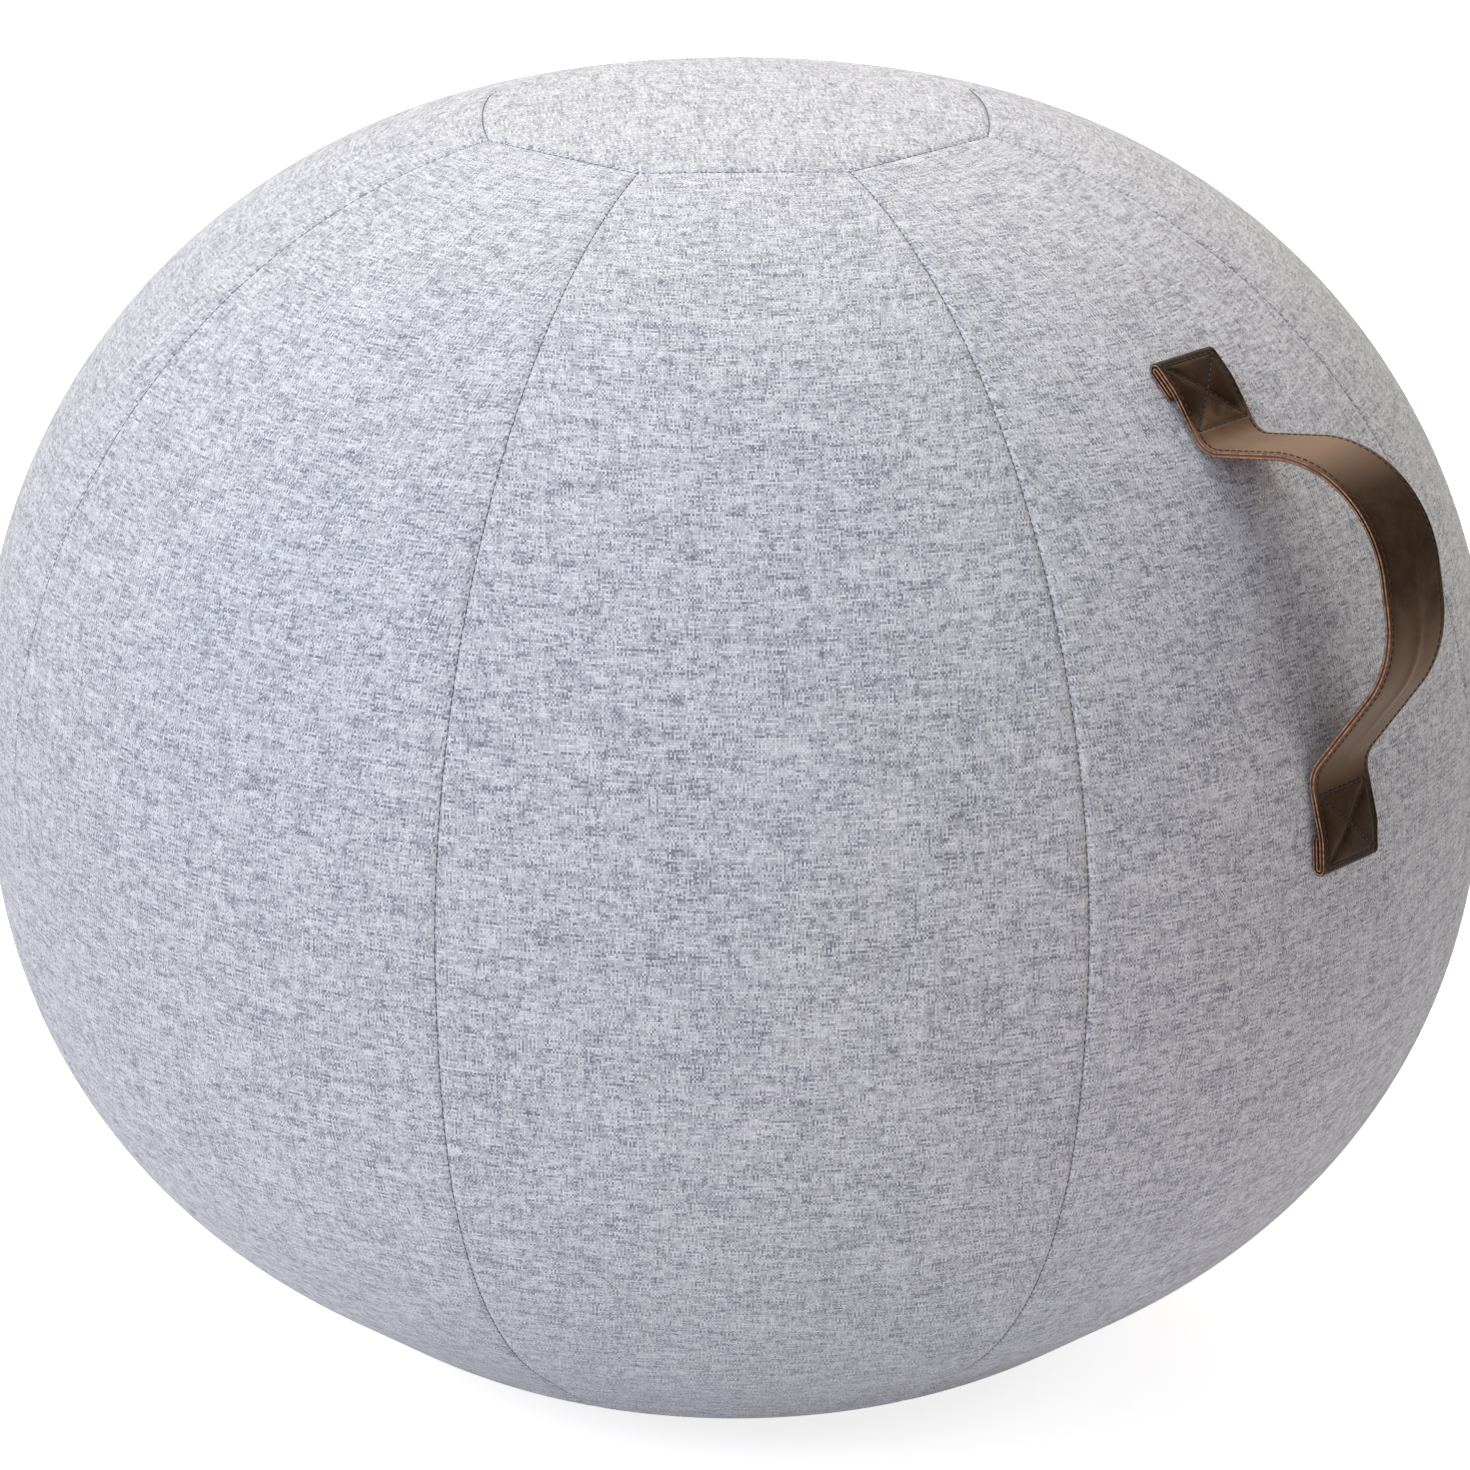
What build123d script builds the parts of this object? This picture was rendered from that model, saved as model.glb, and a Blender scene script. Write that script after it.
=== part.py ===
"""Fabric covered sitting ball with a leatherette carrying handle.

A round cover of eight gores and a cap is stretched over an inflated bladder and a foam base ring.
A zip under the base lets the bladder in. A sewn strap on one gore is the handle.
Millimetres, +Z up, origin on the floor under the middle of the ball, +X through the handle's gore.
"""
from build123d import *
from math import acos, asin, cos, degrees, radians, sin, sqrt, tan
import os

# Outline of the inflated cover: tangent arcs from the floor to the crown
BALL_RADIUS = 325.0
EQUATOR_HEIGHT = 285.0
CROWN_RADIUS = 640.0
UPPER_FLANK_RADIUS = 267.0
BELLY_RADIUS = 417.0
BELLY_ANGLE = 9.7
LOWER_FLANK_RADIUS = 231.0
CONE_SLOPE = 36.75
BASE_EDGE_RADIUS = 200.0

# Cover: gores, cap and base panel
GORE_COUNT = 8
COVER_THICKNESS = 1.2
SEWN_GAP = 0.05
CAP_CORNER_RADIUS = 111.0
CAP_EDGE_BULGE = 3.0

# Zip under the base
ZIP_RADIUS = 146.0
ZIP_ARC = 160.0
ZIP_MIDDLE_ANGLE = 180.0
ZIP_SLOT_HALF = 4.0
TAPE_THICKNESS = 0.6
TAPE_WIDTH = 14.0
TAPE_GAP_HALF = 0.8
COIL_INNER = 0.6
COIL_WIDTH = 2.3
COIL_PROUD = 0.4
STOP_LENGTH = 4.0
SLIDER_LENGTH = 11.0
SLIDER_HALF_WIDTH = 4.2
SLIDER_PLATE = 1.3
SLIDER_POST_HALF = 0.35
SLIDER_CLEARANCE = 0.3
SLIDER_END_GAP = 1.0

# Inflated bladder and its valve
BLADDER_THICKNESS = 1.2
BLADDER_CLEARANCE = 0.2
BLADDER_REST = 8.0
PATCH_THICKNESS = 0.8
VALVE_BORE_RADIUS = 4.0
VALVE_WALL = 2.0
VALVE_DEPTH = 12.0
VALVE_FLANGE_RADIUS = 14.0
VALVE_FLANGE = 2.0
PLUG_CLEARANCE = 0.1
PLUG_FLANGE_RADIUS = 9.0
PLUG_FLANGE = 2.0

# Foam ring that the bladder sits in
RING_INNER_RADIUS = 60.0
RING_OUTER_RADIUS = 185.0
RING_CLEARANCE = 0.3
GROOVE_MARGIN = 2.5

# Handle strap: two leatherette layers, folded under and sewn down at both ends
STRAP_WIDTH = 35.0
LAYER_THICKNESS = 1.5
PAD_LENGTH = 30.0
UPPER_PAD_ANGLE = 44.5
LOWER_PAD_ANGLE = 6.5
FOLD_LENGTH = 12.0
SEAT_GAP = 0.2
UPPER_LEAD = 7.5
LOWER_LEAD = 7.5
UPPER_CORNER_IN = 29.0
UPPER_CORNER_HEIGHT = 78.0
LOWER_CORNER_IN = 39.0
LOWER_CORNER_HEIGHT = 58.0
UPPER_BEND_RADIUS = 11.0
UPPER_ARCH_RADIUS = 48.0
LOWER_ARCH_RADIUS = 48.0
LOWER_BEND_RADIUS = 15.0
ROOT_RISE = 14.0
THREAD_WIDTH = 0.8
THREAD_PROUD = 0.5
THREAD_INSET = 2.0
PATCH_MARGIN = 6.0

# Centres and joints of the outline's arcs, as (radius, height)
upper_flank_centre = (BALL_RADIUS - UPPER_FLANK_RADIUS, EQUATOR_HEIGHT)
crown_join = degrees(acos(upper_flank_centre[0] / (CROWN_RADIUS - UPPER_FLANK_RADIUS)))
crown_centre = (0.0, EQUATOR_HEIGHT - upper_flank_centre[0] * tan(radians(crown_join)))
belly_centre = (BALL_RADIUS - BELLY_RADIUS, EQUATOR_HEIGHT)
flank_shift = BELLY_RADIUS - LOWER_FLANK_RADIUS
lower_flank_centre = (
    belly_centre[0] + flank_shift * cos(radians(BELLY_ANGLE)),
    belly_centre[1] - flank_shift * sin(radians(BELLY_ANGLE)),
)
cone_normal = CONE_SLOPE - 90.0


def on_arc(centre, radius, angle):
    """Point of an arc in the (radius, height) half plane; the angle is counted up from level."""
    return (centre[0] + radius * cos(radians(angle)), centre[1] + radius * sin(radians(angle)))


cone_top = on_arc(lower_flank_centre, LOWER_FLANK_RADIUS, cone_normal)
cone_foot_height = BASE_EDGE_RADIUS * (1.0 - cos(radians(CONE_SLOPE)))
cone_foot_radius = cone_top[0] - (cone_top[1] - cone_foot_height) / tan(radians(CONE_SLOPE))
flat_radius = cone_foot_radius - BASE_EDGE_RADIUS * sin(radians(CONE_SLOPE))
base_edge_centre = (flat_radius, BASE_EDGE_RADIUS)
crown_height = crown_centre[1] + CROWN_RADIUS


def spot(point):
    """Lifts a (radius, height) pair into the XZ plane."""
    return Vector(point[0], 0.0, point[1])


def straight(start, end):
    """Straight edge between two (radius, height) pairs."""
    return Edge.make_line(spot(start), spot(end))


def round_edge(centre, radius, first, last):
    """Arc edge about a centre in the (radius, height) half plane."""
    middle = on_arc(centre, radius, (first + last) / 2.0)
    start = on_arc(centre, radius, first)
    end = on_arc(centre, radius, last)
    return Edge.make_three_point_arc(spot(start), spot(middle), spot(end))


def closed_face(edges):
    """Face inside a loop of edges."""
    return Face(Wire(edges))


def spun(face, start_angle, arc):
    """Turns a face about the ball's axis through an arc, from a start angle."""
    turned = revolve(face, Axis.Z, arc)
    return turned.rotate(Axis.Z, start_angle)


def upper_outline(depth):
    """Edges of the outline from the cone's top to the crown, a depth inside the cover."""
    return [
        round_edge(lower_flank_centre, LOWER_FLANK_RADIUS - depth, cone_normal, -BELLY_ANGLE),
        round_edge(belly_centre, BELLY_RADIUS - depth, -BELLY_ANGLE, 0.0),
        round_edge(upper_flank_centre, UPPER_FLANK_RADIUS - depth, 0.0, crown_join),
        round_edge(crown_centre, CROWN_RADIUS - depth, crown_join, 90.0),
    ]


# Runs along the base's outline, counted outwards from the flat's rim
axis_run = -flat_radius
edge_run = BASE_EDGE_RADIUS * radians(CONE_SLOPE)
cone_run = edge_run + (cone_top[0] - cone_foot_radius) / cos(radians(CONE_SLOPE))


def base_run(radius):
    """Run at which the base's outline has a radius: on the flat, on the rounded edge or on the cone."""
    if radius <= flat_radius:
        return radius - flat_radius
    if radius <= cone_foot_radius:
        return BASE_EDGE_RADIUS * asin((radius - flat_radius) / BASE_EDGE_RADIUS)
    return edge_run + (radius - cone_foot_radius) / cos(radians(CONE_SLOPE))


def edge_angle(run):
    """Angle of the rounded edge's arc at a run."""
    return degrees(run / BASE_EDGE_RADIUS) - 90.0


def base_spot(run, depth):
    """Point of the base's outline at a run, a depth inside the cover."""
    if run <= 0.0:
        return (flat_radius + run, depth)
    radius = BASE_EDGE_RADIUS - depth
    if run <= edge_run:
        return on_arc(base_edge_centre, radius, edge_angle(run))
    foot = on_arc(base_edge_centre, radius, cone_normal)
    return on_arc(foot, run - edge_run, CONE_SLOPE)


def base_line(depth, first, last):
    """Edges of the base's outline between two runs, a depth inside the cover."""
    joints = [joint for joint in (0.0, edge_run) if first < joint < last]
    stops = [first] + joints + [last]
    edges = []
    for start, end in zip(stops, stops[1:]):
        if start >= 0.0 and end <= edge_run:
            radius = BASE_EDGE_RADIUS - depth
            edges.append(round_edge(base_edge_centre, radius, edge_angle(start), edge_angle(end)))
        else:
            edges.append(straight(base_spot(start, depth), base_spot(end, depth)))
    return edges


def base_band(near, far, first, last):
    """Strip of the base's outline between two depths and two runs."""
    first_end = straight(base_spot(first, near), base_spot(first, far))
    last_end = straight(base_spot(last, near), base_spot(last, far))
    return closed_face(base_line(near, first, last) + [last_end] + base_line(far, first, last) + [first_end])


zip_run = base_run(ZIP_RADIUS)


def zip_band(near, far, first, last):
    """Strip between two depths and two distances outwards from the zip's line."""
    return base_band(near, far, zip_run + first, zip_run + last)


def arc_for(length):
    """Angle about the ball's axis that covers a length of the zip."""
    return degrees(length / ZIP_RADIUS)


zip_start_angle = ZIP_MIDDLE_ANGLE - ZIP_ARC / 2.0
hem_run = zip_run + ZIP_SLOT_HALF


def make_cap_prism():
    """Tall prism whose plan is the cap: an octagon with bulging sides."""
    step = 360.0 / GORE_COUNT
    side_radius = CAP_CORNER_RADIUS * cos(radians(step / 2.0)) + CAP_EDGE_BULGE
    sides = []
    for index in range(GORE_COUNT):
        angle = index * step
        start = Vector(CAP_CORNER_RADIUS, 0, EQUATOR_HEIGHT).rotate(Axis.Z, angle - step / 2.0)
        middle = Vector(side_radius, 0, EQUATOR_HEIGHT).rotate(Axis.Z, angle)
        end = Vector(CAP_CORNER_RADIUS, 0, EQUATOR_HEIGHT).rotate(Axis.Z, angle + step / 2.0)
        sides.append(Edge.make_three_point_arc(start, middle, end))
    return extrude(closed_face(sides), BALL_RADIUS, dir=(0, 0, 1))


def make_cover(nodes):
    """Eight gores and the cap, cut from one spun skin along its seams."""
    outer = base_line(0.0, hem_run, cone_run) + upper_outline(0.0)
    inner = base_line(COVER_THICKNESS, hem_run, cone_run) + upper_outline(COVER_THICKNESS)
    top = straight((0.0, crown_height), (0.0, crown_height - COVER_THICKNESS))
    hem = straight(base_spot(hem_run, 0.0), base_spot(hem_run, COVER_THICKNESS))
    skin = closed_face(outer + [top] + inner + [hem])
    step = 360.0 / GORE_COUNT
    cap_prism = make_cap_prism()
    gore = spun(skin, -step / 2.0, step) - cap_prism
    for index in range(GORE_COUNT):
        nodes[f"cover_gore_{round(index * step):03d}"] = gore.rotate(Axis.Z, index * step)
    nodes["cover_cap"] = spun(skin, 0.0, 360.0) & cap_prism


def make_base_panel(nodes):
    """Dished non-slip panel that the ball stands on, cut back along the zip."""
    panel = spun(base_band(0.0, COVER_THICKNESS, axis_run, hem_run), 0.0, 360.0)
    over = COVER_THICKNESS
    slot = zip_band(-over, COVER_THICKNESS + over, -ZIP_SLOT_HALF, ZIP_SLOT_HALF + over)
    nodes["base_panel"] = panel - spun(slot, zip_start_angle, ZIP_ARC)


def make_zip(nodes):
    """Two tapes with their coils, end stops and the slider between them."""
    tape_face = COVER_THICKNESS + SEWN_GAP
    tape_back = tape_face + TAPE_THICKNESS
    for name, side in (("outer", 1.0), ("inner", -1.0)):
        tape_sides = sorted([side * TAPE_GAP_HALF, side * TAPE_WIDTH])
        tape = zip_band(tape_face, tape_back, *tape_sides)
        nodes[f"zip_tape_{name}"] = spun(tape, zip_start_angle, ZIP_ARC)
        coil_sides = sorted([side * COIL_INNER, side * (COIL_INNER + COIL_WIDTH)])
        coil = zip_band(-COIL_PROUD, COVER_THICKNESS, *coil_sides)
        stop_arc = arc_for(STOP_LENGTH)
        nodes[f"zip_coil_{name}"] = spun(coil, zip_start_angle + stop_arc, ZIP_ARC - 2.0 * stop_arc)
    stop_half = COIL_INNER + COIL_WIDTH
    stop = zip_band(-COIL_PROUD, COVER_THICKNESS, -stop_half, stop_half)
    first_stop = spun(stop, zip_start_angle, stop_arc)
    last_stop = first_stop.rotate(Axis.Z, ZIP_ARC - stop_arc)
    nodes["zip_end_stops"] = Compound(children=[first_stop, last_stop])

    front_back = -COIL_PROUD - SLIDER_CLEARANCE
    front_face = front_back - SLIDER_PLATE
    rear_front = tape_back + SLIDER_CLEARANCE
    rear_back = rear_front + SLIDER_PLATE
    slider_start = zip_start_angle + arc_for(STOP_LENGTH + SLIDER_END_GAP)
    slider_arc = arc_for(SLIDER_LENGTH)
    front = zip_band(front_face, front_back, -SLIDER_HALF_WIDTH, SLIDER_HALF_WIDTH)
    rear = zip_band(rear_front, rear_back, -SLIDER_HALF_WIDTH, SLIDER_HALF_WIDTH)
    post = zip_band(front_face, rear_back, -SLIDER_POST_HALF, SLIDER_POST_HALF)
    slider = spun(front, slider_start, slider_arc) + spun(rear, slider_start, slider_arc)
    nodes["zip_slider"] = slider + spun(post, slider_start, slider_arc)


# The bladder's foot fills the cover's flank, or is tighter where that would press it through its rest
bladder_depth = COVER_THICKNESS + SEWN_GAP + PATCH_THICKNESS + BLADDER_CLEARANCE
belly_foot = on_arc(belly_centre, BELLY_RADIUS, -BELLY_ANGLE)
lowest_foot = COVER_THICKNESS + BLADDER_REST - bladder_depth
resting_radius = (belly_foot[1] - lowest_foot) / (1.0 - sin(radians(BELLY_ANGLE)))
foot_radius = min(LOWER_FLANK_RADIUS, resting_radius)
foot_centre = on_arc(belly_centre, BELLY_RADIUS - foot_radius, -BELLY_ANGLE)
bladder_floor = foot_centre[1] - foot_radius + bladder_depth


def bladder_outline(depth, start_radius):
    """Edges of the bladder from a radius on its flat foot to its crown, a depth inside the cover."""
    floor = foot_centre[1] - foot_radius + depth
    foot = straight((start_radius, floor), (foot_centre[0], floor))
    lower = round_edge(foot_centre, foot_radius - depth, -90.0, -BELLY_ANGLE)
    return [foot, lower] + upper_outline(depth)[1:]


def make_bladder(nodes):
    """Inflated bladder with a welded valve collar and its push-in plug."""
    tube_radius = VALVE_BORE_RADIUS + VALVE_WALL
    inner_depth = bladder_depth + BLADDER_THICKNESS
    outer = bladder_outline(bladder_depth, tube_radius)
    inner = bladder_outline(inner_depth, tube_radius)
    top = straight((0.0, crown_height - bladder_depth), (0.0, crown_height - inner_depth))
    neck = Edge.make_line(outer[0] @ 0, inner[0] @ 0)
    nodes["air_bladder"] = spun(closed_face(outer + [top] + inner + [neck]), 0.0, 360.0)

    flange_bottom = bladder_floor - VALVE_FLANGE
    collar = Pos(0, 0, flange_bottom) * extrude(Circle(VALVE_FLANGE_RADIUS), VALVE_FLANGE)
    collar += Pos(0, 0, flange_bottom) * extrude(Circle(tube_radius), VALVE_DEPTH)
    collar -= Pos(0, 0, flange_bottom) * extrude(Circle(VALVE_BORE_RADIUS), VALVE_DEPTH)
    nodes["valve_collar"] = collar

    plug_top = flange_bottom - PLUG_CLEARANCE
    plug = Pos(0, 0, plug_top - PLUG_FLANGE) * extrude(Circle(PLUG_FLANGE_RADIUS), PLUG_FLANGE)
    plug += Pos(0, 0, plug_top) * extrude(Circle(VALVE_BORE_RADIUS - PLUG_CLEARANCE), VALVE_DEPTH)
    nodes["valve_plug"] = plug


def make_base_ring(nodes):
    """Foam ring between the base panel, the cover and the bladder's rounded foot."""
    skin_depth = COVER_THICKNESS + RING_CLEARANCE
    bed_depth = bladder_depth - RING_CLEARANCE
    skin = base_line(skin_depth, axis_run, cone_run) + upper_outline(skin_depth)
    skin_axis = straight((0.0, skin_depth), (0.0, crown_height - skin_depth))
    bed = bladder_outline(bed_depth, 0.0)
    bed_axis = straight((0.0, bladder_floor - RING_CLEARANCE), (0.0, crown_height - bed_depth))
    block = extrude(Circle(RING_OUTER_RADIUS) - Circle(RING_INNER_RADIUS), EQUATOR_HEIGHT)
    ring = block & spun(closed_face(skin + [skin_axis]), 0.0, 360.0)
    ring -= spun(closed_face(bed + [bed_axis]), 0.0, 360.0)
    tape_bed = COVER_THICKNESS + SEWN_GAP + TAPE_THICKNESS + RING_CLEARANCE
    slider_bed = tape_bed + SLIDER_CLEARANCE + SLIDER_PLATE
    tape_half = TAPE_WIDTH + RING_CLEARANCE
    slider_half = SLIDER_HALF_WIDTH + GROOVE_MARGIN
    for depth, half in ((tape_bed, tape_half), (slider_bed, slider_half)):
        ring -= spun(zip_band(0.0, depth, -half, half), 0.0, 360.0)
    nodes["base_ring"] = ring


def on_flank(angle, proud):
    """Point above the upper flank at an angle, a height off the cover."""
    return on_arc(upper_flank_centre, UPPER_FLANK_RADIUS + proud, angle)


def strap_route():
    """Middle line of the strap: pad, bend, arch, bend, pad, with a round at every corner."""
    half_pad = degrees(PAD_LENGTH / 2.0 / UPPER_FLANK_RADIUS)
    strap_middle = LAYER_THICKNESS + SEAT_GAP
    fold_lift = 2.0 * LAYER_THICKNESS
    upper_far = spot(on_flank(UPPER_PAD_ANGLE + half_pad, strap_middle + fold_lift))
    upper_near = spot(on_flank(UPPER_PAD_ANGLE - half_pad, strap_middle))
    lower_near = spot(on_flank(LOWER_PAD_ANGLE + half_pad, strap_middle))
    lower_far = spot(on_flank(LOWER_PAD_ANGLE - half_pad, strap_middle + fold_lift))
    along = (lower_near - upper_near).normalized()
    outwards = Vector(0, 1, 0).cross(along) * -1.0
    upper_lead = upper_near + (upper_near - upper_far).normalized() * UPPER_LEAD
    lower_lead = lower_near + (lower_near - lower_far).normalized() * LOWER_LEAD
    upper_corner = upper_near + along * UPPER_CORNER_IN + outwards * UPPER_CORNER_HEIGHT
    lower_corner = lower_near - along * LOWER_CORNER_IN + outwards * LOWER_CORNER_HEIGHT
    corners = [upper_far, upper_lead, upper_corner, lower_corner, lower_lead, lower_far]
    radii = [UPPER_BEND_RADIUS, UPPER_ARCH_RADIUS, LOWER_ARCH_RADIUS, LOWER_BEND_RADIUS]
    return FilletPolyline(*corners, radius=radii).edges()


def band_along(edges, inner, outer):
    """Sweeps a strip as wide as the strap along edges, between two heights off its middle line."""
    path = Wire(edges)
    start = Plane(origin=path @ 0, x_dir=(0, 1, 0), z_dir=path % 0)
    strip = start * Pos(0, (inner + outer) / 2.0) * Rectangle(STRAP_WIDTH, outer - inner)
    return sweep(strip, path=path)


def cut_line(edge, length):
    """Splits a straight edge at a length from its start."""
    point = edge.position_at(length / edge.length)
    return Edge.make_line(edge @ 0, point), Edge.make_line(point, edge @ 1)


def make_strap_end(pad_line, pad_angle, far_sign):
    """Sewn end of the strap: the flat stretch, its round fold and the tongue folded under."""
    half = LAYER_THICKNESS
    pad = band_along([pad_line], -half, half)
    outwards = (pad_line % 0).cross(Vector(0, 1, 0))
    far_end = pad_line @ 0 if far_sign > 0 else pad_line @ 1
    inwards = (pad_line % 0) * far_sign
    under_far = far_end - outwards * half
    half_pad = degrees(PAD_LENGTH / 2.0 / UPPER_FLANK_RADIUS)
    fold = degrees(FOLD_LENGTH / UPPER_FLANK_RADIUS)
    seat_far = spot(on_flank(pad_angle + far_sign * half_pad, SEAT_GAP))
    seat_near = spot(on_flank(pad_angle + far_sign * (half_pad - fold), SEAT_GAP))
    under_near = under_far + inwards * FOLD_LENGTH
    tongue = Face(Wire.make_polygon([under_far, under_near, seat_near, seat_far]))
    top_far = far_end + outwards * half
    nose_middle = (top_far + seat_far) * 0.5 - inwards * (2.0 * LAYER_THICKNESS)
    nose_arc = Edge.make_three_point_arc(top_far, nose_middle, seat_far)
    nose = Face(Wire([nose_arc, Edge.make_line(seat_far, top_far)]))
    fold_solid = extrude(tongue, STRAP_WIDTH / 2.0, dir=(0, 1, 0), both=True)
    fold_solid += extrude(nose, STRAP_WIDTH / 2.0, dir=(0, 1, 0), both=True)
    return pad + fold_solid


def make_box_stitch(pad_line):
    """Sewing thread on a strap end: a box with two diagonals."""
    outwards = (pad_line % 0).cross(Vector(0, 1, 0))
    middle = pad_line @ 0.5 + outwards * LAYER_THICKNESS
    top = Plane(origin=middle, x_dir=(0, 1, 0), z_dir=outwards)
    width = STRAP_WIDTH - 2.0 * THREAD_INSET
    length = pad_line.length - 2.0 * THREAD_INSET
    frame = Rectangle(width, length) - Rectangle(width - 2.0 * THREAD_WIDTH, length - 2.0 * THREAD_WIDTH)
    diagonal = sqrt(width**2 + length**2) - 2.0 * THREAD_WIDTH
    lean = degrees(asin(length / sqrt(width**2 + length**2)))
    for turn in (lean, -lean):
        frame += Rot(0, 0, turn) * Rectangle(diagonal, THREAD_WIDTH)
    return extrude(top * frame, THREAD_PROUD, dir=outwards)


def make_patch(pad_angle):
    """Reinforcing patch inside the gore, behind a sewn strap end."""
    reach = degrees((PAD_LENGTH / 2.0 + PATCH_MARGIN) / UPPER_FLANK_RADIUS)
    near = UPPER_FLANK_RADIUS - COVER_THICKNESS - SEWN_GAP
    far = near - PATCH_THICKNESS
    outer_arc = round_edge(upper_flank_centre, near, pad_angle - reach, pad_angle + reach)
    inner_arc = round_edge(upper_flank_centre, far, pad_angle - reach, pad_angle + reach)
    first_end = Edge.make_line(outer_arc @ 0, inner_arc @ 0)
    last_end = Edge.make_line(outer_arc @ 1, inner_arc @ 1)
    section = closed_face([outer_arc, last_end, inner_arc, first_end])
    distance = on_flank(pad_angle, 0.0)[0]
    arc = degrees((STRAP_WIDTH + 2.0 * PATCH_MARGIN) / distance)
    return spun(section, -arc / 2.0, arc)


def make_handle(nodes):
    """Strap of two layers: sewn ends, roots that flex, and the loop that swings."""
    upper_pad, upper_bend, rise, upper_arch, top, lower_arch, fall, lower_bend, lower_pad = strap_route()
    upper_root_line, rise_rest = cut_line(rise, ROOT_RISE)
    fall_rest, lower_root_line = cut_line(fall, fall.length - ROOT_RISE)
    loop = [rise_rest, upper_arch, top, lower_arch, fall_rest]
    nodes["handle_strap_face"] = band_along(loop, 0.0, LAYER_THICKNESS)
    nodes["handle_strap_lining"] = band_along(loop, -LAYER_THICKNESS, 0.0)
    half = LAYER_THICKNESS
    nodes["handle_root_upper"] = band_along([upper_bend, upper_root_line], -half, half)
    nodes["handle_root_lower"] = band_along([lower_root_line, lower_bend], -half, half)
    nodes["handle_end_upper"] = make_strap_end(upper_pad, UPPER_PAD_ANGLE, 1.0)
    nodes["handle_end_lower"] = make_strap_end(lower_pad, LOWER_PAD_ANGLE, -1.0)
    nodes["handle_stitching_upper"] = make_box_stitch(upper_pad)
    nodes["handle_stitching_lower"] = make_box_stitch(lower_pad)
    nodes["reinforcing_patch_upper"] = make_patch(UPPER_PAD_ANGLE)
    nodes["reinforcing_patch_lower"] = make_patch(LOWER_PAD_ANGLE)
    print("handle swings about the line from", upper_pad @ 1, "to", lower_pad @ 0)


nodes = {}
make_cover(nodes)
make_base_panel(nodes)
make_zip(nodes)
make_bladder(nodes)
make_base_ring(nodes)
make_handle(nodes)
os.makedirs("parts", exist_ok=True)
for name, shape in nodes.items():
    export_step(shape, f"parts/{name}.step")
print(len(nodes), "nodes, height", round(crown_height, 2), "flat radius", round(flat_radius, 2))
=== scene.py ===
"""Sitting ball: a cover of eight woven gores with a sewn-on strap, zipped over a bladder and a foam ring."""
import math

import bmesh
import bpy
import numpy as np
from mathutils import Matrix, Vector


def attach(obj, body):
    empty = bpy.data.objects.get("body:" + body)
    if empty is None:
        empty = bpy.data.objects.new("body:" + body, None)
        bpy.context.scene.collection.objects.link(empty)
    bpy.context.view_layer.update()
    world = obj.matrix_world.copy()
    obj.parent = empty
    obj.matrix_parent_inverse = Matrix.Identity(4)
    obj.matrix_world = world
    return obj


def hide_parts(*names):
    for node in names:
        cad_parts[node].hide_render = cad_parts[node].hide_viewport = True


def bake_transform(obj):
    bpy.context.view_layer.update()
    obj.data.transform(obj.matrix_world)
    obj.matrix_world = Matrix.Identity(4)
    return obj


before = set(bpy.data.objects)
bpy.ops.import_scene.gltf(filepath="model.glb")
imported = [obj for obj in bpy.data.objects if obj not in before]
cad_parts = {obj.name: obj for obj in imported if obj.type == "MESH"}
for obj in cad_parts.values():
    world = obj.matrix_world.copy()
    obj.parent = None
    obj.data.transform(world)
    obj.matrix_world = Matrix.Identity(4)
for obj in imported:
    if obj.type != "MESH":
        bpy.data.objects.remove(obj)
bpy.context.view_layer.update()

# Cover gores
# Eight leaves of light grey melange upholstery cloth, a plain polyester weave of light and dark yarns.
# They are sewn edge to edge and drawn tight over the bladder, so each seam lies in a hair of a valley.
MM = 0.001
UPRIGHT = Vector((0, 0, 1))
GORE_COUNT = 8
GORE_HALF = math.pi / GORE_COUNT
GORE_COLUMNS = 32
ROW_STEP = 7 * MM
CLOTH_THICKNESS = 1.2 * MM
MERGE_GAP = 0.01 * MM
UPPER_CENTRE = Vector((58, 0, 285)) * MM
UPPER_RADIUS = 267 * MM
BELLY_CENTRE = Vector((-92, 0, 285)) * MM
BELLY_RADIUS = 417 * MM
BELLY_SWEEP = math.radians(9.7)
LOWER_RADIUS = 231 * MM
CONE_SLOPE = math.radians(36.75)
BASE_RADIUS = 200 * MM
ZIP_RADIUS = 146 * MM
ZIP_SLOT_HALF = 4 * MM
CAP_CORNER_RADIUS = 111 * MM
CAP_EDGE_BULGE = 3 * MM
CAP_FADE = 30 * MM
SEAM_STEPS = [0, 0.5 * MM, 1.1 * MM, 2.0 * MM, 3.5 * MM]
SEAM_DEPTH = 0.9 * MM
SEAM_REACH = 1.3 * MM
BOLT_SHIFT = Vector((0.371, 0.613))
PLASTIC_IOR = 1.5
YARN_TONES = [(0.33, "#838595"), (0.49, "#cdced6"), (0.65, "#f2f3f9")]
WARP_PITCH = 0.75 * MM
WEFT_PITCH = 0.93 * MM
WARP_STREAK = 5 * MM
WEFT_STREAK = 8 * MM
STREAK_ROUGHNESS = 0.65
SLUB_LENGTH = 38 * MM
SLUB_HEIGHT = 4.5 * MM
WARP_SLUB = 0.1
WEFT_SLUB = 0.15
ROW_JUMP = 3.7
GAP_SHADE = 0.8
YARN_RELIEF = 0.2 * MM


def linear(code):
    """Linear colour of an sRGB hex value."""
    parts = [int(code[start:start + 2], 16) / 255 for start in (1, 3, 5)]
    return [part / 12.92 if part <= 0.04045 else ((part + 0.055) / 1.055) ** 2.4 for part in parts] + [1.0]


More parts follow.
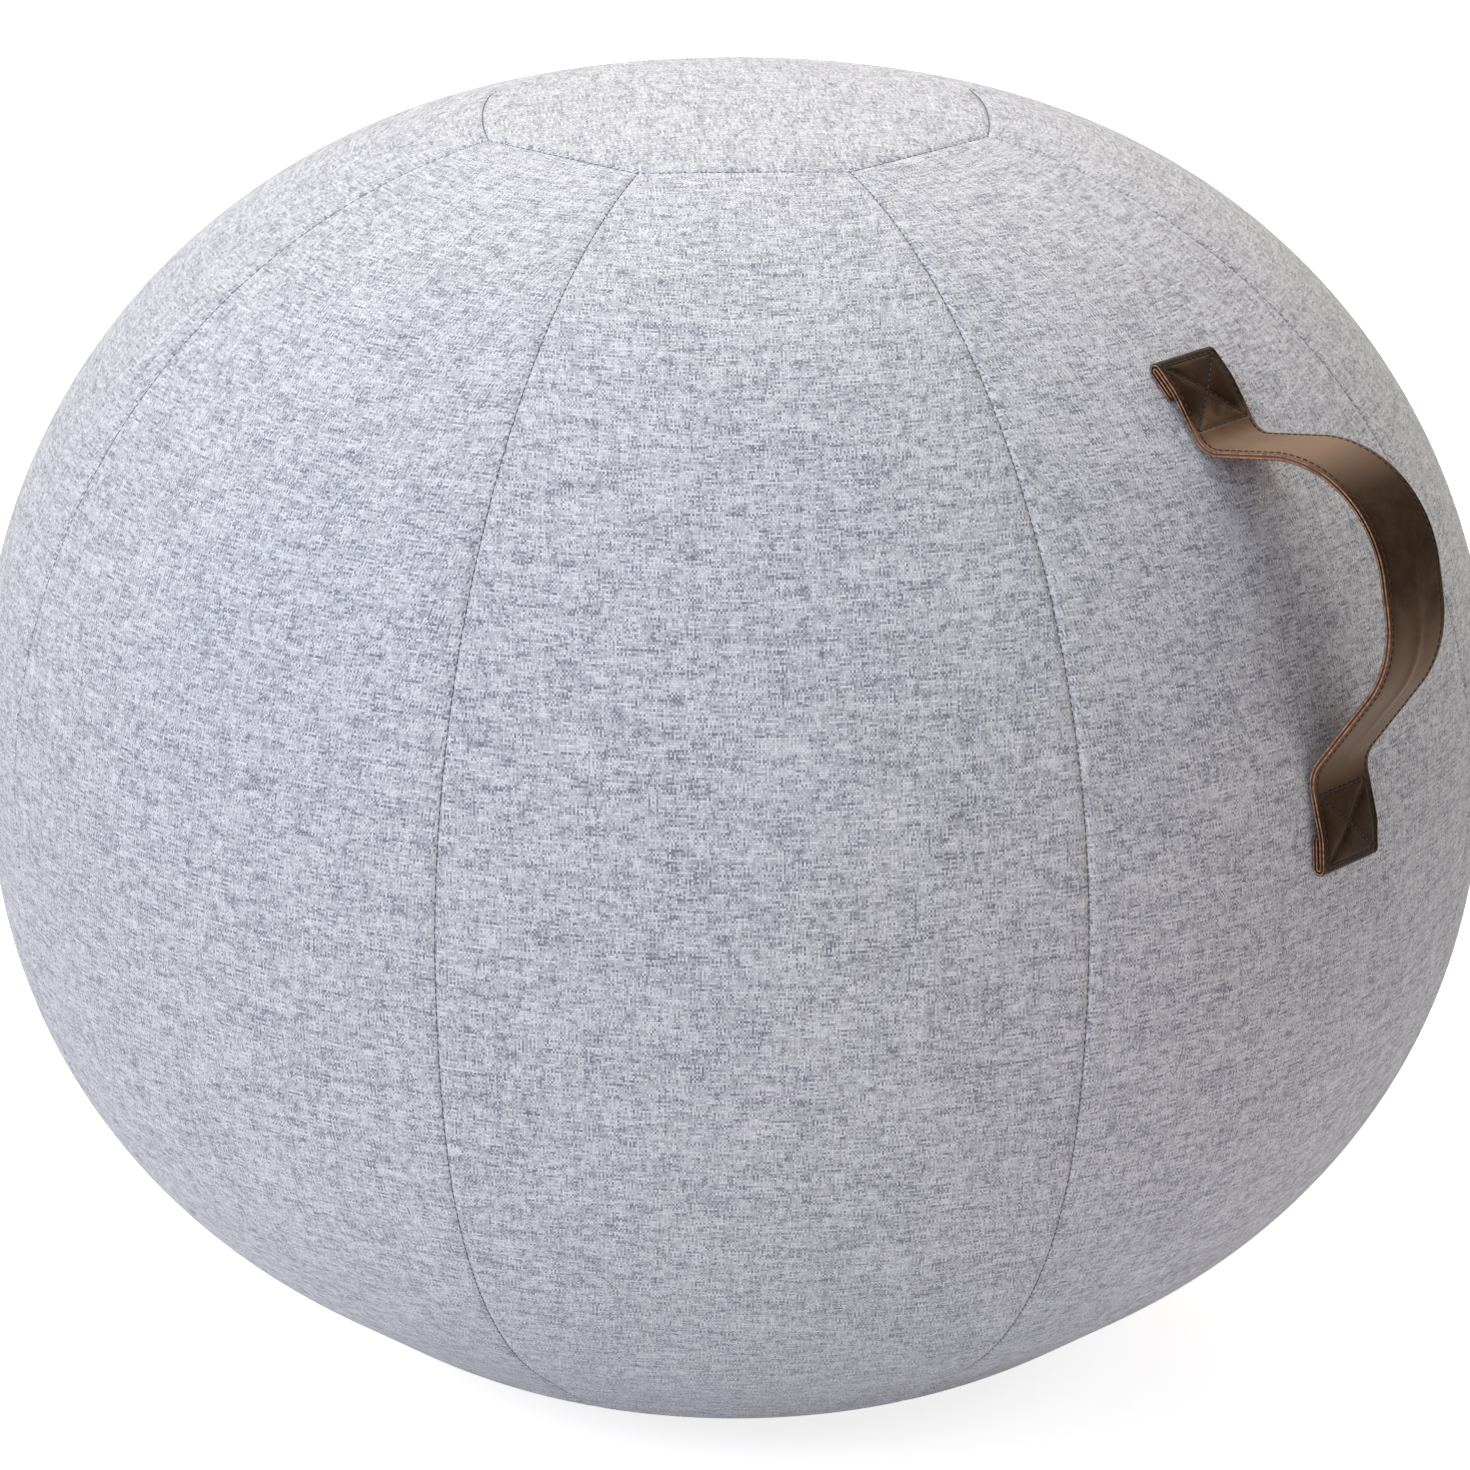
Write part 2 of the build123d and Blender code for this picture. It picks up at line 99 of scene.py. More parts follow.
def connect(tree, node, inputs):
    """Sets a node's inputs: each is a value, an output that feeds it, or a node whose first output does."""
    for socket, value in inputs.items():
        if isinstance(value, bpy.types.Node):
            value = value.outputs[0]
        if isinstance(value, bpy.types.NodeSocket):
            tree.links.new(value, node.inputs[socket])
        else:
            node.inputs[socket].default_value = value


def add_node(tree, kind, inputs=None, stops=(), **settings):
    """Adds a shader node with its settings, its inputs and, on a colour ramp, its stops in order."""
    node = tree.nodes.new("ShaderNode" + kind)
    for name, value in settings.items():
        setattr(node, name, value)
    if stops:
        marks = node.color_ramp.elements
        for mark, (position, colour) in zip(marks, (stops[0], stops[-1])):
            mark.position = position
            mark.color = colour
        for position, colour in stops[1:-1]:
            marks.new(position).color = colour
    connect(tree, node, inputs or {})
    return node


def start_material(name, roughness):
    """New material with its Principled shader, which has the given roughness."""
    material = bpy.data.materials.new(name)
    material.use_nodes = True
    shader = material.node_tree.nodes["Principled BSDF"]
    connect(material.node_tree, shader, {"Roughness": roughness, "IOR": PLASTIC_IOR})
    return material, material.node_tree, shader


def melange_weave():
    """Plain weave of melange yarn: threads run dark for some millimetres, in slubs for some centimetres."""
    material, tree, shader = start_material("melange_polyester_weave", roughness=0.9)
    place = add_node(tree, "UVMap", uv_map="cloth")
    parts = add_node(tree, "SeparateXYZ", {0: place}).outputs
    numbers = []
    tones = []
    rounds = []
    warp = ("Y", "X", WARP_STREAK, WARP_PITCH)
    weft = ("X", "Y", WEFT_STREAK, WEFT_PITCH)
    for run, cross, streak, pitch in (warp, weft):
        count = add_node(tree, "Math", {0: parts[cross], 1: 1 / pitch}, operation="MULTIPLY")
        number = add_node(tree, "Math", {0: count}, operation="FLOOR")
        # Each thread reads its own line of the noise, so neighbouring threads differ.
        line = add_node(tree, "Math", {0: number, 1: ROW_JUMP}, operation="MULTIPLY")
        length = add_node(tree, "Math", {0: parts[run], 1: 1 / streak}, operation="MULTIPLY")
        spot = add_node(tree, "CombineXYZ", {run: length, cross: line})
        tones.append(add_node(tree, "TexNoise", {"Vector": spot, "Scale": 1.0, "Detail": 3.0,
                                                 "Roughness": STREAK_ROUGHNESS}, noise_dimensions="2D"))
        # Each thread is round: its height is a half wave across it.
        phase = add_node(tree, "Math", {0: count, 1: math.pi}, operation="MULTIPLY")
        wave = add_node(tree, "Math", {0: phase}, operation="SINE")
        rounds.append(add_node(tree, "Math", {0: wave}, operation="ABSOLUTE"))
        numbers.append(number)
    step = add_node(tree, "Math", {0: numbers[0], 1: numbers[1]}, operation="ADD")
    over = add_node(tree, "Math", {0: step, 1: 2.0}, operation="FLOORED_MODULO")
    tone = add_node(tree, "Mix", {0: over, 2: tones[0], 3: tones[1]})
    height = add_node(tree, "Mix", {0: over, 2: rounds[0], 3: rounds[1]})
    # Slubs: a few neighbouring threads run darker or lighter together.
    for share, scale in ((WEFT_SLUB, (1 / SLUB_LENGTH, 1 / SLUB_HEIGHT, 0)),
                         (WARP_SLUB, (1 / SLUB_HEIGHT, 1 / SLUB_LENGTH, 0))):
        spot = add_node(tree, "VectorMath", {0: place, 1: scale}, operation="MULTIPLY")
        slub = add_node(tree, "TexNoise", {"Vector": spot, "Scale": 1.0, "Detail": 3.0},
                        noise_dimensions="2D")
        shift = add_node(tree, "Math", {0: slub, 1: share, 2: -share / 2}, operation="MULTIPLY_ADD")
        tone = add_node(tree, "Math", {0: tone, 1: shift}, operation="ADD")
    ramp = add_node(tree, "ValToRGB", {0: tone}, stops=[(spot, linear(code)) for spot, code in YARN_TONES])
    # Painted shade: the hollows between the round threads are darkened in the colour as well as in the bump.
    shade = add_node(tree, "MapRange", {"Value": height, "To Min": GAP_SHADE, "To Max": 1.0})
    colour = add_node(tree, "VectorMath", {0: ramp, 1: shade}, operation="MULTIPLY")
    bump = add_node(tree, "Bump", {"Height": height, "Strength": 0.35, "Distance": YARN_RELIEF})
    connect(tree, shader, {"Base Color": colour, "Normal": bump, "Sheen Weight": 0.15,
                           "Sheen Roughness": 0.5})
    return material


def carry(bm, point, centre, sweep, step):
    """Carries a point round a centre in the XZ plane and leaves a chain of edges; a positive sweep climbs."""
    steps = max(1, round(abs(sweep) * (point.co - centre).length / step))
    turned = bmesh.ops.spin(bm, geom=[point], cent=centre, axis=(0, -1, 0), angle=sweep, steps=steps)
    return next(item for item in turned["geom_last"] if isinstance(item, bmesh.types.BMVert))


def draw(bm, point, end, step):
    """Draws a point to another in a straight line and leaves a chain of edges."""
    steps = max(1, round((end - point.co).length / step))
    stride = (end - point.co) / steps
    for _ in range(steps):
        point = bmesh.ops.extrude_vert_indiv(bm, verts=[point])["verts"][0]
        point.co += stride
    return point


def turn_mesh(bm, angle):
    """Turns a whole mesh about the ball's upright axis."""
    bmesh.ops.rotate(bm, verts=bm.verts, cent=(0, 0, 0), matrix=Matrix.Rotation(angle, 3, "Z"))


def spin_mesh(bm, angle, steps, **how):
    """Spins a whole mesh about the ball's upright axis."""
    bmesh.ops.spin(bm, geom=bm.verts[:] + bm.edges[:] + bm.faces[:], cent=(0, 0, 0), axis=UPRIGHT,
                   angle=angle, steps=steps, **how)


def add_piece(name, bm, materials):
    """Makes an object of a finished mesh, smooth shaded, with its finish."""
    mesh = bpy.data.meshes.new(name)
    bm.to_mesh(mesh)
    bm.free()
    for material in materials:
        mesh.materials.append(material)
    mesh.shade_smooth()
    piece = bpy.data.objects.new(name, mesh)
    bpy.context.collection.objects.link(piece)
    return piece


def thicken(piece, thickness):
    """Gives a sheet its thickness, inwards from the face that shows."""
    wall = piece.modifiers.new("thickness", "SOLIDIFY")
    wall.thickness = thickness
    wall.offset = -1


def face_outwards(bm):
    """Merges doubles and turns all faces away from the middle of the ball."""
    bmesh.ops.remove_doubles(bm, verts=bm.verts, dist=MERGE_GAP)
    bmesh.ops.recalc_face_normals(bm, faces=bm.faces)
    bm.faces.ensure_lookup_table()
    first = bm.faces[0]
    if first.normal.dot(first.calc_center_median() - UPPER_CENTRE.z * UPRIGHT) < 0:
        bmesh.ops.reverse_faces(bm, faces=bm.faces)
    bm.normal_update()


def lay_cloth(bm, place_of):
    """Lays a mesh out on its flat cloth, in metres, by a function that gives each point's place there."""
    cloth = bm.loops.layers.uv.new("cloth")
    for face in bm.faces:
        for loop in face.loops:
            loop[cloth].uv = place_of(loop.vert)


def mesh_area(bm):
    """Area of a sheet before it gets its thickness."""
    return sum(face.calc_area() for face in bm.faces)


def seam_dip(gap):
    """Depth of the valley at a distance from the seam."""
    return SEAM_DEPTH * math.exp(-(gap / SEAM_REACH) ** 2)


lower_centre = BELLY_CENTRE + (BELLY_RADIUS - LOWER_RADIUS) * Vector(
    (math.cos(BELLY_SWEEP), 0, -math.sin(BELLY_SWEEP)))
cone_top = lower_centre + LOWER_RADIUS * Vector((math.sin(CONE_SLOPE), 0, -math.cos(CONE_SLOPE)))
flat_radius = cone_top.x - cone_top.z / math.tan(CONE_SLOPE) - BASE_RADIUS * math.tan(CONE_SLOPE / 2)
base_centre = Vector((flat_radius, 0, BASE_RADIUS))
zip_slope = math.asin((ZIP_RADIUS - flat_radius) / BASE_RADIUS)
hem_slope = zip_slope + ZIP_SLOT_HALF / BASE_RADIUS
cap_side_radius = CAP_CORNER_RADIUS * math.cos(GORE_HALF) + CAP_EDGE_BULGE
cap_angle = math.acos((cap_side_radius - UPPER_CENTRE.x) / UPPER_RADIUS)


def on_base(slope, depth):
    """Point of the rounded base at a slope, some way inside the cover's face."""
    return base_centre + (BASE_RADIUS - depth) * Vector((math.sin(slope), 0, -math.cos(slope)))


def cap_edge_shift(angle):
    """How much further out than at mid side the cap's edge lies, at an angle off the gore's middle."""
    return (CAP_CORNER_RADIUS - cap_side_radius) * (angle / GORE_HALF) ** 2


def settle_on_seams(point, angle, gap):
    """Moves a point of the upper cover to follow the cap's edge, and presses it into the seams near it."""
    radius = math.hypot(point.co.x, point.co.y)
    climb = math.atan2(point.co.z - UPPER_CENTRE.z, radius - UPPER_CENTRE.x)
    to_cap = abs(cap_angle - climb) * UPPER_RADIUS
    dip = max(seam_dip(gap), seam_dip(to_cap))
    moved = point.co.copy()
    if to_cap < CAP_FADE:
        outwards = Vector((point.co.x, point.co.y, 0)) / radius
        slide = cap_edge_shift(angle) * (1 - to_cap / CAP_FADE)
        moved += slide * (outwards - math.cos(climb) / math.sin(climb) * UPRIGHT)
    point.co = moved - dip * point.normal


gore = bmesh.new()
tip = gore.verts.new(on_base(hem_slope, 0))
tip = carry(gore, tip, base_centre, CONE_SLOPE - hem_slope, ROW_STEP)
tip = draw(gore, tip, cone_top, ROW_STEP)
tip = carry(gore, tip, lower_centre, math.pi / 2 - CONE_SLOPE - BELLY_SWEEP, ROW_STEP)
tip = carry(gore, tip, BELLY_CENTRE, BELLY_SWEEP, ROW_STEP)
tip = carry(gore, tip, UPPER_CENTRE, cap_angle - SEAM_STEPS[-1] / UPPER_RADIUS, ROW_STEP)
for wide, narrow in zip(SEAM_STEPS[::-1], SEAM_STEPS[-2::-1]):
    tip = carry(gore, tip, UPPER_CENTRE, (wide - narrow) / UPPER_RADIUS, ROW_STEP)
outline = sorted(((point.co.x, point.co.z) for point in gore.verts), key=lambda spot: spot[1])
outline_radii = [spot[0] for spot in outline]
outline_heights = [spot[1] for spot in outline]
outline_runs = [0.0]
for before, after in zip(outline, outline[1:]):
    outline_runs.append(outline_runs[-1] + math.dist(before, after))
gore_length = outline_runs[-1]
spin_mesh(gore, 2 * GORE_HALF, GORE_COLUMNS)
turn_mesh(gore, -GORE_HALF)
face_outwards(gore)
cloth_places = []
last_step = len(SEAM_STEPS) - 1
for point in gore.verts:
    radius = math.hypot(point.co.x, point.co.y)
    column = round((math.atan2(point.co.y, point.co.x) / GORE_HALF + 1) * GORE_COLUMNS / 2)
    from_seam = min(column, GORE_COLUMNS - column)
    if from_seam <= last_step:
        gap = SEAM_STEPS[from_seam]
    else:
        inner_share = (from_seam - last_step) / (GORE_COLUMNS / 2 - last_step)
        gap = SEAM_STEPS[-1] + inner_share * (GORE_HALF * radius - SEAM_STEPS[-1])
    angle = math.copysign(GORE_HALF - gap / radius, column - GORE_COLUMNS / 2)
    point.co.x = radius * math.cos(angle)
    point.co.y = radius * math.sin(angle)
    cloth_places.append(Vector((angle * radius, float(np.interp(point.co.z, outline_heights, outline_runs)))))
    settle_on_seams(point, angle, gap)
weave = melange_weave()
for index in range(GORE_COUNT):
    leaf = gore.copy()
    turn_mesh(leaf, 2 * GORE_HALF * index)
    lay_cloth(leaf, lambda point: cloth_places[point.index] + BOLT_SHIFT * index)
    name = f"{360 // GORE_COUNT * index:03d}"
    piece = add_piece("gore_cloth_" + name, leaf, [weave])
    thicken(piece, CLOTH_THICKNESS)
    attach(piece, "cover")
    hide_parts("cover_gore_" + name)
gore.free()

# Cover cap
# An eight-sided piece of the same cloth that closes the gores at the crown, with softly bulging sides.
# It is cut with its threads straight to one side and sewn on, and it pulls in at its edge.
CROWN_RADIUS = 640 * MM
CAP_COLUMNS = 128
CAP_ROW = 5 * MM
CAP_TURN = math.radians(43)
CAP_BOLT_SHIFT = Vector((5.17, 3.29))
crown_join = math.acos(UPPER_CENTRE.x / (CROWN_RADIUS - UPPER_RADIUS))
crown_centre = (UPPER_CENTRE.z - (CROWN_RADIUS - UPPER_RADIUS) * math.sin(crown_join)) * UPRIGHT


def off_middle(bearing):
    """Angle between a bearing and the middle of the gore that it crosses."""
    return bearing - 2 * GORE_HALF * round(bearing / (2 * GORE_HALF))


cap = bmesh.new()
tip = cap.verts.new(crown_centre + CROWN_RADIUS * UPRIGHT)
tip = carry(cap, tip, crown_centre, crown_join - math.pi / 2, CAP_ROW)
tip = carry(cap, tip, UPPER_CENTRE, cap_angle + SEAM_STEPS[-1] / UPPER_RADIUS - crown_join, CAP_ROW)
for wide, narrow in zip(SEAM_STEPS[::-1], SEAM_STEPS[-2::-1]):
    tip = carry(cap, tip, UPPER_CENTRE, (narrow - wide) / UPPER_RADIUS, CAP_ROW)
spin_mesh(cap, 2 * math.pi, CAP_COLUMNS, use_merge=True)
face_outwards(cap)
for point in cap.verts:
    if math.hypot(point.co.x, point.co.y) > cap_side_radius - CAP_FADE:
        settle_on_seams(point, off_middle(math.atan2(point.co.y, point.co.x)), CAP_FADE)
lay_cloth(cap, lambda point: Matrix.Rotation(CAP_TURN, 2) @ point.co.xy + CAP_BOLT_SHIFT)
cap_area = mesh_area(cap)
cap_piece = add_piece("cap_cloth", cap, [weave])
thicken(cap_piece, CLOTH_THICKNESS)
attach(cap_piece, "cover")
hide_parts("cover_cap")

# Seam stitching
# Grey polyester thread, one row down each of the eight seams and one round the cap, three stitches to a
# centimetre. The seams are sewn inside out and pulled tight, so only short dashes show in the valley.
SEAM_PITCH = 3.2 * MM
SEAM_STITCH = 2.3 * MM
SEAM_THREAD = 0.5 * MM
SEAM_SET = 0.75 * MM
# The stitches' dark grey is partly the thread's own colour, partly painted shade of the small gaps where the
# seam opens between stitches.
SEAM_GREY = "#6c6d73"
PLY_TWIST = 1.139 * MM
# At a scale of one, the diagonal wave texture repeats after this length.
WAVE_REPEAT = 2 * math.pi / (10 * math.sqrt(3))
PLY_DARK = 0.7
PLY_LIGHT = 1.15


def spun_thread(name, code):
    """Sewing thread: matt, two plies whose twist is painted as fine bands, painted shade in the grooves and
    painted highlight on the crests.
    """
    material, tree, shader = start_material(name, roughness=0.75)
    place = add_node(tree, "TexCoord").outputs["Object"]
    plies = add_node(tree, "TexWave", {"Vector": place, "Scale": WAVE_REPEAT / PLY_TWIST, "Distortion": 1.0},
                     bands_direction="DIAGONAL")
    # Painted shade and highlight of the twisted plies: the thread's colour darkened and lightened in bands.
    bands = [(spot, [part * tone for part in linear(code)[:3]] + [1])
             for spot, tone in ((0, PLY_DARK), (1, PLY_LIGHT))]
    ramp = add_node(tree, "ValToRGB", {0: plies.outputs["Fac"]}, stops=bands)
    connect(tree, shader, {"Base Color": ramp})
    return material


def add_stitch(bm, place, along, up, length, thickness):
    """Adds one short stitch, round and drawn in at both ends."""
    turn = Matrix((up.cross(along), up, along)).transposed().to_4x4()
    size = Matrix.Diagonal((thickness / 2, thickness / 2, length / 2, 1))
    stitch = stitch_form.copy()
    stitch.transform(Matrix.Translation(place) @ turn @ size)
    bm.from_mesh(stitch)
    bpy.data.meshes.remove(stitch)


bead = bmesh.new()
bmesh.ops.create_uvsphere(bead, u_segments=6, v_segments=5, radius=1)
stitch_form = bpy.data.meshes.new("stitch_form")
bead.to_mesh(stitch_form)
bead.free()
seams = bmesh.new()
for number in range(int(gore_length / SEAM_PITCH)):
    runs = [(number + share) * SEAM_PITCH for share in (0.2, 0.5, 0.8)]
    before, middle, after = (Vector((np.interp(run, outline_runs, outline_radii), 0,
                                     np.interp(run, outline_runs, outline_heights))) for run in runs)
    along = (after - before).normalized()
    up = Vector((along.z, 0, -along.x))
    add_stitch(seams, middle - up * SEAM_SET, along, up, SEAM_STITCH, SEAM_THREAD)
turn_mesh(seams, GORE_HALF)
spin_mesh(seams, 2 * math.pi * (GORE_COUNT - 1) / GORE_COUNT, GORE_COUNT - 1, use_duplicate=True)
seam_thread = spun_thread("grey_polyester_thread", SEAM_GREY)
seam_rows = add_piece("seam_stitching_gores", seams, [seam_thread])
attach(seam_rows, "cover")

cap_round = bmesh.new()
cap_count = round(2 * math.pi * cap_side_radius / SEAM_PITCH)
for number in range(cap_count):
    bearing = 2 * math.pi * number / cap_count
    radius = cap_side_radius + cap_edge_shift(off_middle(bearing))
    outwards = Vector((math.cos(bearing), math.sin(bearing), 0))
    climb = math.acos((radius - UPPER_CENTRE.x) / UPPER_RADIUS)
    up = math.cos(climb) * outwards + math.sin(climb) * UPRIGHT
    along = Vector((-outwards.y, outwards.x, 0))
    place = radius * outwards + (UPPER_CENTRE.z + UPPER_RADIUS * math.sin(climb)) * UPRIGHT
    add_stitch(cap_round, place - up * SEAM_SET, along, up, SEAM_STITCH, SEAM_THREAD)
cap_row = add_piece("seam_stitching_cap", cap_round, [seam_thread])
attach(cap_row, "cover")

# Reinforcing patches
# Two squares of woven polyester webbing inside the cover, one behind each sewn end of the strap.
# The box stitches go through them, so that a pull on the strap doesn't tear the cloth.
STRAP_WIDTH = 35 * MM
PAD_LENGTH = 30 * MM
UPPER_PAD_ANGLE = math.radians(44.5)
LOWER_PAD_ANGLE = math.radians(6.5)
PATCH_MARGIN = 6 * MM
PATCH_THICKNESS = 0.8 * MM
PATCH_CELL = 3 * MM
SEWN_GAP = 0.05 * MM
WEBBING_DARK = "#a5a5a3"
WEBBING_LIGHT = "#d6d6d4"
WEBBING_PITCH = 1.6 * MM
WEAR_THREADS = 8
THREAD_RELIEF = 0.15


def on_flank(angle, proud):
    """Point in the XZ plane over the cover's upper flank."""
    return UPPER_CENTRE.xz + (UPPER_RADIUS + proud) * Vector((math.cos(angle), math.sin(angle)))


def plain_cloth(name, dark, light, pitch, roughness):
    """Plain cloth of even threads one pitch apart: painted highlight on the crowns, painted shade in the
    hollows, some wear.
    """
    material, tree, shader = start_material(name, roughness)
    place = add_node(tree, "UVMap", uv_map="cloth")
    scaled = add_node(tree, "VectorMath", {0: place, "Scale": math.pi / pitch}, operation="SCALE")
    waves = add_node(tree, "VectorMath", {0: scaled}, operation="SINE")
    parts = add_node(tree, "SeparateXYZ", {0: waves}).outputs
    crossing = add_node(tree, "Math", {0: parts["X"], 1: parts["Y"]}, operation="MULTIPLY")
    height = add_node(tree, "MapRange", {"Value": crossing, "From Min": -1.0})
    wear = add_node(tree, "TexNoise", {"Vector": place, "Scale": 1 / (WEAR_THREADS * pitch), "Detail": 3.0},
                    noise_dimensions="2D")
    tone = add_node(tree, "Math", {0: height, 1: wear}, operation="MULTIPLY")
    # Painted shade and highlight: the colour follows the threads' height, dark in the hollows and light on
    # the crowns, with the wear noise over it.
    colour = add_node(tree, "Mix", {0: tone, 6: linear(dark), 7: linear(light)}, data_type="RGBA")
    bump = add_node(tree, "Bump", {"Height": height, "Strength": 0.6, "Distance": THREAD_RELIEF * pitch})
    connect(tree, shader, {"Base Color": colour.outputs[2], "Normal": bump, "Sheen Weight": 0.1})
    return material


webbing = plain_cloth("polyester_webbing", WEBBING_DARK, WEBBING_LIGHT, WEBBING_PITCH, roughness=0.85)
patch_size = (STRAP_WIDTH + 2 * PATCH_MARGIN, PAD_LENGTH + 2 * PATCH_MARGIN)
for end, pad_angle in (("upper", UPPER_PAD_ANGLE), ("lower", LOWER_PAD_ANGLE)):
    patch = bmesh.new()
    bmesh.ops.create_grid(patch, x_segments=round(patch_size[0] / PATCH_CELL),
                          y_segments=round(patch_size[1] / PATCH_CELL), size=0.5,
                          matrix=Matrix.Diagonal((*patch_size, 1, 1)), calc_uvs=False)
    lay_cloth(patch, lambda point: point.co.xy)
    distance = on_flank(pad_angle, 0).x
    for point in patch.verts:
        across, run, _ = point.co
        spot = on_flank(pad_angle + run / UPPER_RADIUS, -CLOTH_THICKNESS - SEWN_GAP)
        bearing = across / distance
        point.co = (spot.x * math.cos(bearing), spot.x * math.sin(bearing), spot.y)
    face_outwards(patch)
    piece = add_piece("webbing_patch_" + end, patch, [webbing])
    thicken(piece, PATCH_THICKNESS)
    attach(piece, "cover")
    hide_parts("reinforcing_patch_" + end)

# Carrying strap
# Two layers of brown waxed leatherette, 35 mm wide, glued and sewn together, with raw tan edges. Both ends
# are folded under and sewn flat on the cover; between them the strap stands off as a loop for the hand.
LAYER_THICKNESS = 1.5 * MM
STRAP_CELL = 0.75 * MM
STRAP_ROUND = 0.45 * MM
STEEP_FACE = 0.3
FOLD_LENGTH = 12 * MM
FOLD_RADIUS = 1.6 * MM
# Two straight runs and two rounds take the strap round each fold.
FOLD_STEPS = 4
SEAT_GAP = 0.2 * MM
PAD_LEAD = 7.5 * MM
UPPER_CORNER_IN = 29 * MM
UPPER_CORNER_OFF = 78 * MM
LOWER_CORNER_IN = 39 * MM
LOWER_CORNER_OFF = 58 * MM
KINK_RADIUS = 25 * MM
UPPER_ROOT_RADIUS = 11 * MM
LOWER_ROOT_RADIUS = 15 * MM
LOOP_RADIUS = 48 * MM
BOX_INSET = 1.9 * MM
BOX_START = 0.4 * MM
BOX_END = 29.4 * MM
STITCH_GROOVE = 0.6 * MM
STITCH_GROOVE_REACH = 0.9 * MM
PILLOW_HEIGHT = 0.45 * MM
PILLOW_REACH = 4 * MM
EDGE_ROW_INSET = 1.9 * MM
EDGE_ROW_GROOVE = 0.3 * MM
CREASE_HEIGHT = 0.6 * MM
CREASE_REACH = 2.2 * MM
CREASE_OFFSET = 1 * MM
CREASE_MIDDLE = 0.68
CREASE_SPREAD = 0.13
LEATHER_DARK = "#2a1a0b"
# The pale end is reached in the painted highlight bands and in the lighter mottle.
LEATHER_PALE = "#7d6450"
LEATHER_GLOSS = "#cf9a70"
WAX_SHEEN = "#d8b49a"
GRAIN = 0.9 * MM
GRAIN_RELIEF = 0.2 * MM
PULL_UP = 14 * MM
HIGHLIGHT_WANDER = 16 * MM
PULL_CLOUD = 0.5
PULL_CLEAR = -0.2
# Painted highlight and reflection bands, as shares of the loop's run: paler where the strap faces the
# overhead lamp and the white floor.
PAINTED_HIGHLIGHT_BANDS = [(0, 0), (0.10, 0), (0.13, 0.8), (0.30, 0.95), (0.40, 0), (0.52, 0), (0.62, 0.55), (0.86, 0.5),
          (0.89, 0), (1, 0)]
EDGE_FIBRE = 1.5 * MM
EDGE_TONES = [(0.35, "#80583f"), (0.65, "#b48b6e")]
half_pad = PAD_LENGTH / 2 / UPPER_RADIUS


def end_points(angle, away):
    """Corners of one sewn end, from the tongue's tip round the fold to where the strap leaves the cover."""
    low = LAYER_THICKNESS + SEAT_GAP / 2
    high = low + 2 * FOLD_RADIUS
    far = angle + away * half_pad
    nose = far + away * FOLD_RADIUS / UPPER_RADIUS
    inner = far - away * FOLD_LENGTH / UPPER_RADIUS
    near = on_flank(angle - away * half_pad, LAYER_THICKNESS + SEAT_GAP)
    start = on_flank(far, high)
    lead = near + (near - start).normalized() * PAD_LEAD
    return [on_flank(inner, low), on_flank(nose, low), on_flank(nose, high), on_flank(inner, high), lead]


def route_steps(corners, radii):
    """Straight runs and rounds of a bent line: start, heading, length and curvature of each."""
    steps = []
    start = corners[0]
    for index, radius in enumerate(radii):
        corner = corners[index + 1]
        heading = (corner - start).normalized()
        leaving = (corners[index + 2] - corner).normalized()
        turn = math.atan2(heading.x * leaving.y - heading.y * leaving.x, heading.dot(leaving))
        cut = radius * math.tan(abs(turn) / 2)
        steps.append((start, heading, (corner - start).length - cut, 0.0))
        steps.append((corner - heading * cut, heading, radius * abs(turn), math.copysign(1 / radius, turn)))
        start = corner + leaving * cut
    steps.append((start, (corners[-1] - start).normalized(), (corners[-1] - start).length, 0.0))
    return steps


axis_start = on_flank(UPPER_PAD_ANGLE - half_pad, LAYER_THICKNESS + SEAT_GAP)
axis_end = on_flank(LOWER_PAD_ANGLE + half_pad, LAYER_THICKNESS + SEAT_GAP)
down_chord = (axis_end - axis_start).normalized()
off_ball = Vector((-down_chord.y, down_chord.x))
upper_corner = axis_start + down_chord * UPPER_CORNER_IN + off_ball * UPPER_CORNER_OFF
lower_corner = axis_end - down_chord * LOWER_CORNER_IN + off_ball * LOWER_CORNER_OFF
corners = (end_points(UPPER_PAD_ANGLE, 1) + [upper_corner, lower_corner]
           + end_points(LOWER_PAD_ANGLE, -1)[::-1])
fold_radii = [FOLD_RADIUS, FOLD_RADIUS, KINK_RADIUS]
radii = fold_radii + [UPPER_ROOT_RADIUS, LOOP_RADIUS, LOOP_RADIUS, LOWER_ROOT_RADIUS] + fold_radii[::-1]
steps = route_steps(corners, radii)
strap_length = sum(step[2] for step in steps)
pad_start = sum(step[2] for step in steps[:FOLD_STEPS])
pad_end = strap_length - sum(step[2] for step in steps[-FOLD_STEPS:])


def along_strap(run):
    """Place and heading of the strap's middle line at a run from the upper tongue's tip."""
    for start, heading, length, bend in steps:
        if run <= length:
            break
        run -= length
    left = Vector((-heading.y, heading.x))
    if bend == 0:
        return start + heading * run, heading
    turn = bend * run
    place = start + heading * math.sin(turn) / bend + left * (1 - math.cos(turn)) / bend
    return place, heading * math.cos(turn) + left * math.sin(turn)


def bend_to_route(across, run, height):
    """Takes a point of the flat strap to its place on the bent one."""
    place, heading = along_strap(min(max(run, 0), strap_length))
    spot = place + Vector((-heading.y, heading.x)) * height
    return Vector((spot.x, across, spot.y))


